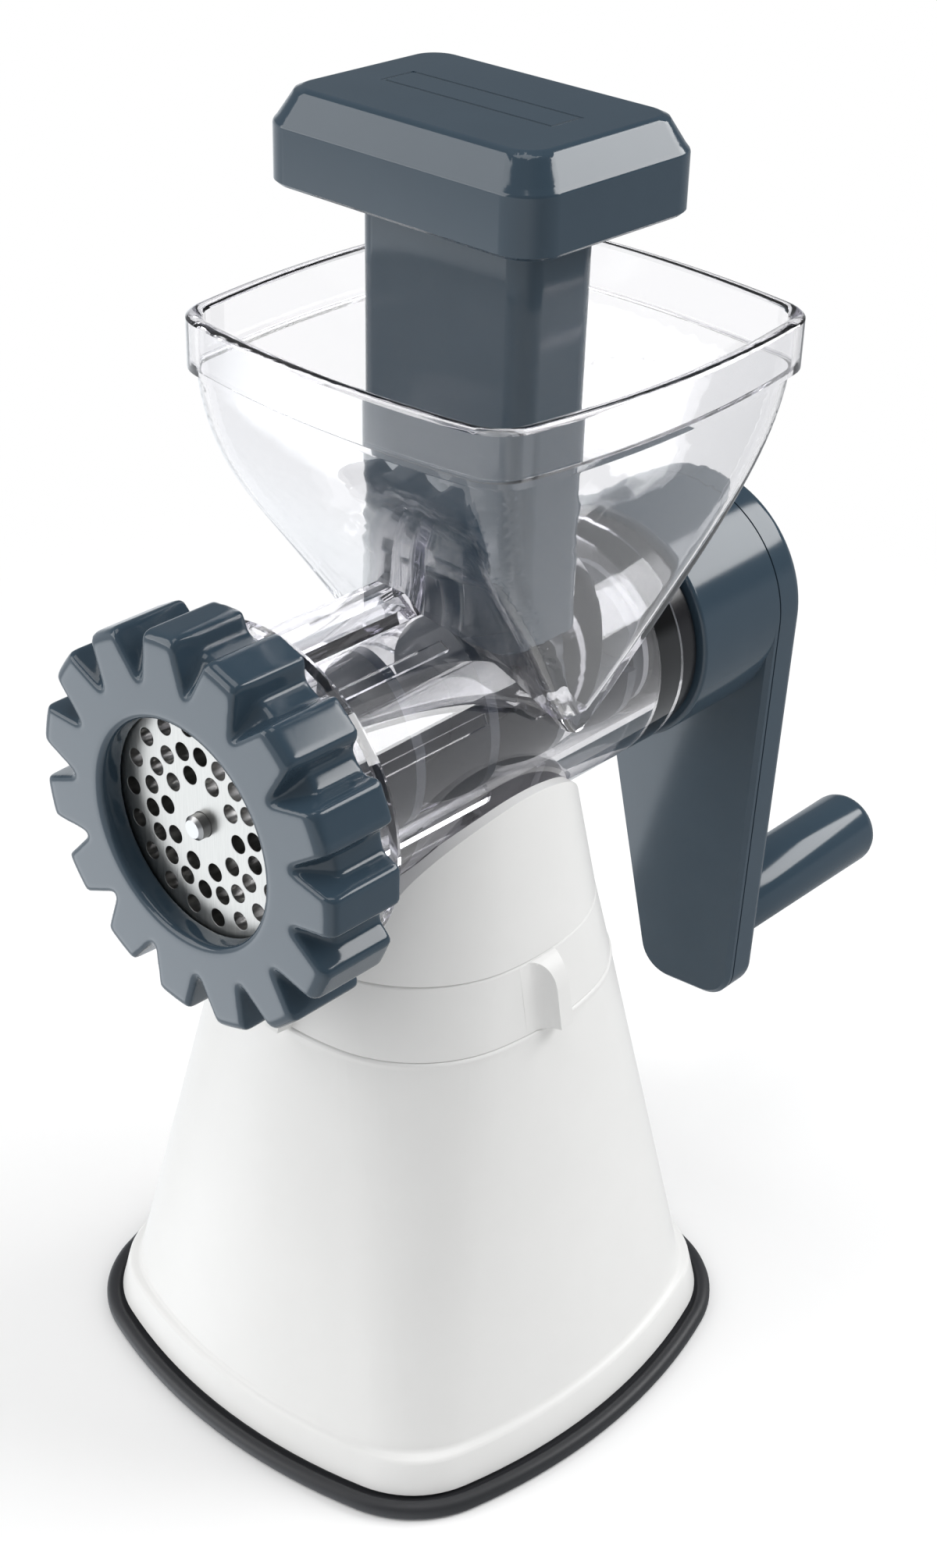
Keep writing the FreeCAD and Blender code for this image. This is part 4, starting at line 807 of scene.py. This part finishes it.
# %% Grip profile
POCKET_BOTTOM = 51.5
POCKET_MOUTH = 46.0
POCKET_RADIUS = 7.3
BORE_RADIUS = 4.08
GRIP_FRONT = [(0.0, 9.6), (0.35, 10.45), (1.2, 10.8)]
GRIP_RADIUS = 11.15
GRIP_ROUND = 4.6
GRIP_ROUND_STEPS = 6
END_CROWN = 0.6
END_FLAT = (0.2, 3.4)
INSIDE_SOLID = 0.02
grip_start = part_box("grip_sleeve")[0][1] / MM
grip_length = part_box("grip_end_cap")[1][1] / MM - INSIDE_SOLID - grip_start
round_start = grip_length - GRIP_ROUND - END_CROWN
profile = [(POCKET_BOTTOM, POCKET_RADIUS), (POCKET_MOUTH, POCKET_RADIUS), (POCKET_MOUTH, BORE_RADIUS)]
profile += [(0.0, BORE_RADIUS), *GRIP_FRONT, (round_start, GRIP_RADIUS)]
for step in range(1, GRIP_ROUND_STEPS + 1):
    turn = math.pi / 2 * step / GRIP_ROUND_STEPS
    along = round_start + GRIP_ROUND * math.sin(turn)
    profile.append((along, GRIP_RADIUS - GRIP_ROUND * (1 - math.cos(turn))))
profile += [(grip_length - END_FLAT[0], END_FLAT[1]), (grip_length, 0.0)]
print("grip length:", round(grip_length, 2), "rings:", len(profile))

# %% Grip
GRIP_SIDES = 64
GRIP_SMOOTH = 50


def on_grip_axis(distance):
    """The point on the grip's axis at a distance from its front."""
    return (grip_axis.x, (grip_start + distance) * MM, grip_axis.z)


bpy.ops.object.select_all(action="DESELECT")
bpy.ops.mesh.primitive_circle_add(vertices=GRIP_SIDES, radius=POCKET_RADIUS * MM, fill_type="NGON",
                                  location=on_grip_axis(POCKET_BOTTOM), rotation=(math.pi / 2, 0, 0))
grip = bpy.context.object
grip.name = grip.data.name = "grip_handle"
bpy.ops.object.transform_apply(location=True, rotation=True, scale=True)
bpy.ops.object.mode_set(mode="EDIT")
bpy.ops.mesh.select_mode(type="EDGE")
bpy.ops.mesh.select_all(action="SELECT")
for (distance, radius), (next_distance, next_radius) in zip(profile, profile[1:]):
    move = (0, (next_distance - distance) * MM, 0)
    bpy.ops.mesh.extrude_edges_move(TRANSFORM_OT_translate={"value": move})
    share = next_radius / radius
    bpy.ops.transform.resize(value=(share, 1, share), center_override=on_grip_axis(next_distance))
bpy.ops.mesh.merge(type="CENTER")
bpy.ops.mesh.select_all(action="SELECT")
bpy.ops.mesh.normals_make_consistent(inside=False)
bpy.ops.object.mode_set(mode="OBJECT")
bpy.ops.object.shade_smooth_by_angle(angle=math.radians(GRIP_SMOOTH))
stand_for(grip, "grip_sleeve", "grip_end_cap")

# %% [markdown]
# ## Bush and disc
# The black bush behind the barrel and the steel disc only need their edges broken. The disc's holes are
# punched, so their edges stay much sharper than those of the moulded bush.

# %% Bush and disc
BUSH_ROUND = 0.8
DISC_ROUND = 0.2
bush = copy_of("rear_bush", "bush")
round_edges(bush, BUSH_ROUND)
flatten_shading(bush)
stand_for(bush, "rear_bush")

disc = copy_of("perforated_disc", "disc")
round_edges(disc, DISC_ROUND, segments=2)
flatten_shading(disc)
stand_for(disc, "perforated_disc")

# %% [markdown]
# ## The clear hopper
# The hopper, its flange and the barrel are one clear moulding. Its rim is a soft bead to the hand, and that
# bead draws the two thin grey lines by which the eye finds the edge of a clear thing. So the copy gets its
# rim rounded. Its curved walls keep their fine faces, because joining them would bend the light in steps.

# %% Clear hopper
RIM_ROUND = 0.9
CURVED_FLAT = 0.05
rim_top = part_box("clear_body")[1][2] / MM
clear_shell = copy_of("clear_body", "clear_shell", flat=CURVED_FLAT)
round_edges(clear_shell, RIM_ROUND, lambda place: place.z > rim_top - RIM_NEAR, segments=5)
flatten_shading(clear_shell)
stand_for(clear_shell, "clear_body")

# %% [markdown]
# ## The camera
# It stands in front, to the right and above, as for a catalogue picture. A constraint could aim it, but its
# place and its axes are known here: one axis points back from the part to the camera, one points up in the
# picture, and the third is square to both. They are the columns of its matrix.

# %% Camera
CAMERA_PLACE = Vector((0.344105, -0.360918, 0.468023))
CAMERA_BACK = Vector((0.57451, -0.63359, 0.51818))
CAMERA_UP = Vector((-0.36926, 0.36437, 0.85492))
SENSOR_WIDTH = 36.0
LENS = 54.42
CLIP_START = 0.01
camera_data = bpy.data.cameras.new("camera")
camera_data.sensor_width = SENSOR_WIDTH
camera_data.lens = LENS
camera_data.clip_start = CLIP_START
camera = bpy.data.objects.new("camera", camera_data)
scene.collection.objects.link(camera)
camera_right = CAMERA_UP.cross(CAMERA_BACK)
columns = (camera_right, CAMERA_UP, CAMERA_BACK, CAMERA_PLACE)
camera.matrix_world = Matrix((
    [column.x for column in columns],
    [column.y for column in columns],
    [column.z for column in columns],
    [0, 0, 0, 1],
))
scene.camera = camera
print("camera distance:", round(CAMERA_PLACE.length, 3))

# %% [markdown]
# ## The floor
# A sheet of white paper holds the soft shadow and fades out into the white background, so that it has no
# edge. Mirroring plastic doesn't see the paper at all: it looks past it into the white room of the next step,
# where each reflection can be set by itself.

# %% Floor
FLOOR_SIZE = 4.0
FLOOR_DROP = 0.3
FADE_START, FADE_END = 0.16, 0.55


def soft_step(tree, edge, level):
    """Adds a node that goes softly from one level to another between two marks."""
    step = add(tree, "ShaderNodeMapRange", From_Min=edge[0], From_Max=edge[1])
    step.inputs["To Min"].default_value, step.inputs["To Max"].default_value = level
    step.interpolation_type = "SMOOTHSTEP"
    return step


bpy.ops.object.select_all(action="DESELECT")
bpy.ops.mesh.primitive_plane_add(size=FLOOR_SIZE, location=(0, 0, 0))
floor = bpy.context.object
floor.name = "floor"
bpy.ops.object.mode_set(mode="EDIT")
bpy.ops.mesh.select_all(action="SELECT")
bpy.ops.transform.translate(value=(0, 0, -FLOOR_DROP * MM))
bpy.ops.object.mode_set(mode="OBJECT")
paper, paper_tree, paper_shader = new_material("floor_paper")
paper_shader.inputs["Base Color"].default_value = (0.94, 0.94, 0.94, 1)
paper_shader.inputs["Roughness"].default_value = 0.8
paper_shader.inputs["Specular IOR Level"].default_value = 0.1
paper_place = paper_tree.nodes.new("ShaderNodeTexCoord")
paper_path = paper_tree.nodes.new("ShaderNodeLightPath")
from_middle = calculate(paper_tree, "LENGTH", "ShaderNodeVectorMath")
fade = soft_step(paper_tree, (FADE_START, FADE_END), (1.0, 0.0))
unmirrored = calculate(paper_tree, "SUBTRACT")
unmirrored.use_clamp = True
join(paper_tree, paper_place, "Object", from_middle, 0)
join(paper_tree, from_middle, "Value", fade, "Value")
join(paper_tree, fade, "Result", unmirrored, 0)
join(paper_tree, paper_path, "Is Glossy Ray", unmirrored, 1)
join(paper_tree, unmirrored, 0, paper_shader, "Alpha")
floor.data.materials.append(paper)
print("floor fades out at:", FADE_END)

# %% [markdown]
# ## The white room
# The camera, and what looks through clear plastic, sees a pure white background. For diffuse light the same
# room is dimmer, so that pale plastic doesn't burn out. Glossy plastic mirrors a third version of it: bright
# at floor level, darker overhead and towards the back on the right, with one white card low in front on the
# left that only mirrors see. The card draws the sheen on the faces that look forward.

# %% White room
ROOM_FOR_DIFFUSE = 0.54
MIRRORED_TINT = (0.96, 1, 1.04, 1)
CARD_DIRECTION = (-0.65, -0.54, -0.535)
BACK_RIGHT = (0.62, 0.78, 0)
world = bpy.data.worlds.new("studio")
scene.world = world
world.use_nodes = True
sky = world.node_tree
sky.nodes.clear()
ray = sky.nodes.new("ShaderNodeTexCoord")
path = sky.nodes.new("ShaderNodeLightPath")


def level_towards(direction, edge, level):
    """A level that changes softly with how far a ray points in a direction."""
    along = calculate(sky, "DOT_PRODUCT", "ShaderNodeVectorMath")
    along.inputs[1].default_value = direction
    step = soft_step(sky, edge, level)
    join(sky, ray, "Generated", along, 0)
    join(sky, along, "Value", step, "Value")
    return step


overhead = level_towards((0, 0, 1), edge=(-0.02, 0.18), level=(1.0, 0.25))
back = level_towards(BACK_RIGHT, edge=(-0.3, 0.5), level=(1.0, 0.4))
card = level_towards(CARD_DIRECTION, edge=(0.95, 0.988), level=(1.0, 2.85))
walls = calculate(sky, "MULTIPLY")
walls_and_card = calculate(sky, "MULTIPLY")
seen = calculate(sky, "MAXIMUM")
dim = add(sky, "ShaderNodeBackground", Color=(1, 1, 1, 1), Strength=ROOM_FOR_DIFFUSE)
mirrored = add(sky, "ShaderNodeBackground", Color=MIRRORED_TINT)
bright = add(sky, "ShaderNodeBackground", Color=(1, 1, 1, 1), Strength=1.0)
join(sky, overhead, "Result", walls, 0)
join(sky, back, "Result", walls, 1)
join(sky, walls, 0, walls_and_card, 0)
join(sky, card, "Result", walls_and_card, 1)
join(sky, walls_and_card, 0, mirrored, "Strength")
join(sky, path, "Is Camera Ray", seen, 0)
join(sky, path, "Is Transmission Ray", seen, 1)
unseen = choose(sky, path, "Is Glossy Ray", dim, mirrored)
room = choose(sky, seen, 0, unseen, bright)
join(sky, room, "Shader", sky.nodes.new("ShaderNodeOutputWorld"), "Surface")
print("world nodes:", len(sky.nodes))

# %% [markdown]
# ## The softboxes
# One large softbox behind on the right draws the long highlights on the slate plastic. A second in front on
# the left lights the white tower, and a weak third overhead fills the tops. Clear walls stand behind each
# other many times here, so light may pass through more surfaces than usual before it is given up.

# %% Softboxes
BOUNCES = 24
GLOSSY_BOUNCES = 12


def softbox(name, place, target, size, power):
    """A rectangular lamp of so many watts, turned towards a point."""
    lamp = bpy.data.lights.new(name, "AREA")
    lamp.shape = "RECTANGLE"
    lamp.size, lamp.size_y = size
    lamp.energy = power
    lamp_object = bpy.data.objects.new(name, lamp)
    scene.collection.objects.link(lamp_object)
    lamp_object.location = place
    lamp_object.rotation_euler = (Vector(target) - Vector(place)).to_track_quat("-Z", "Y").to_euler()
    print(name, "radiance", round(power / (math.pi * size[0] * size[1]), 2))


softbox("back_light", place=(0.56, 0.88, 0.87), target=(0, 0, 0.18), size=(0.86, 0.52), power=9.6)
softbox("front_light", place=(-0.95, -1.2, 0.8), target=(0, 0, 0.15), size=(1.3, 1.3), power=14)
softbox("top_light", place=(0.0, -0.1, 1.5), target=(0, 0, 0.2), size=(0.9, 0.9), power=5)

scene.view_settings.view_transform = "Standard"
scene.cycles.max_bounces = BOUNCES
scene.cycles.transmission_bounces = BOUNCES
scene.cycles.glossy_bounces = GLOSSY_BOUNCES
scene.cycles.transparent_max_bounces = BOUNCES
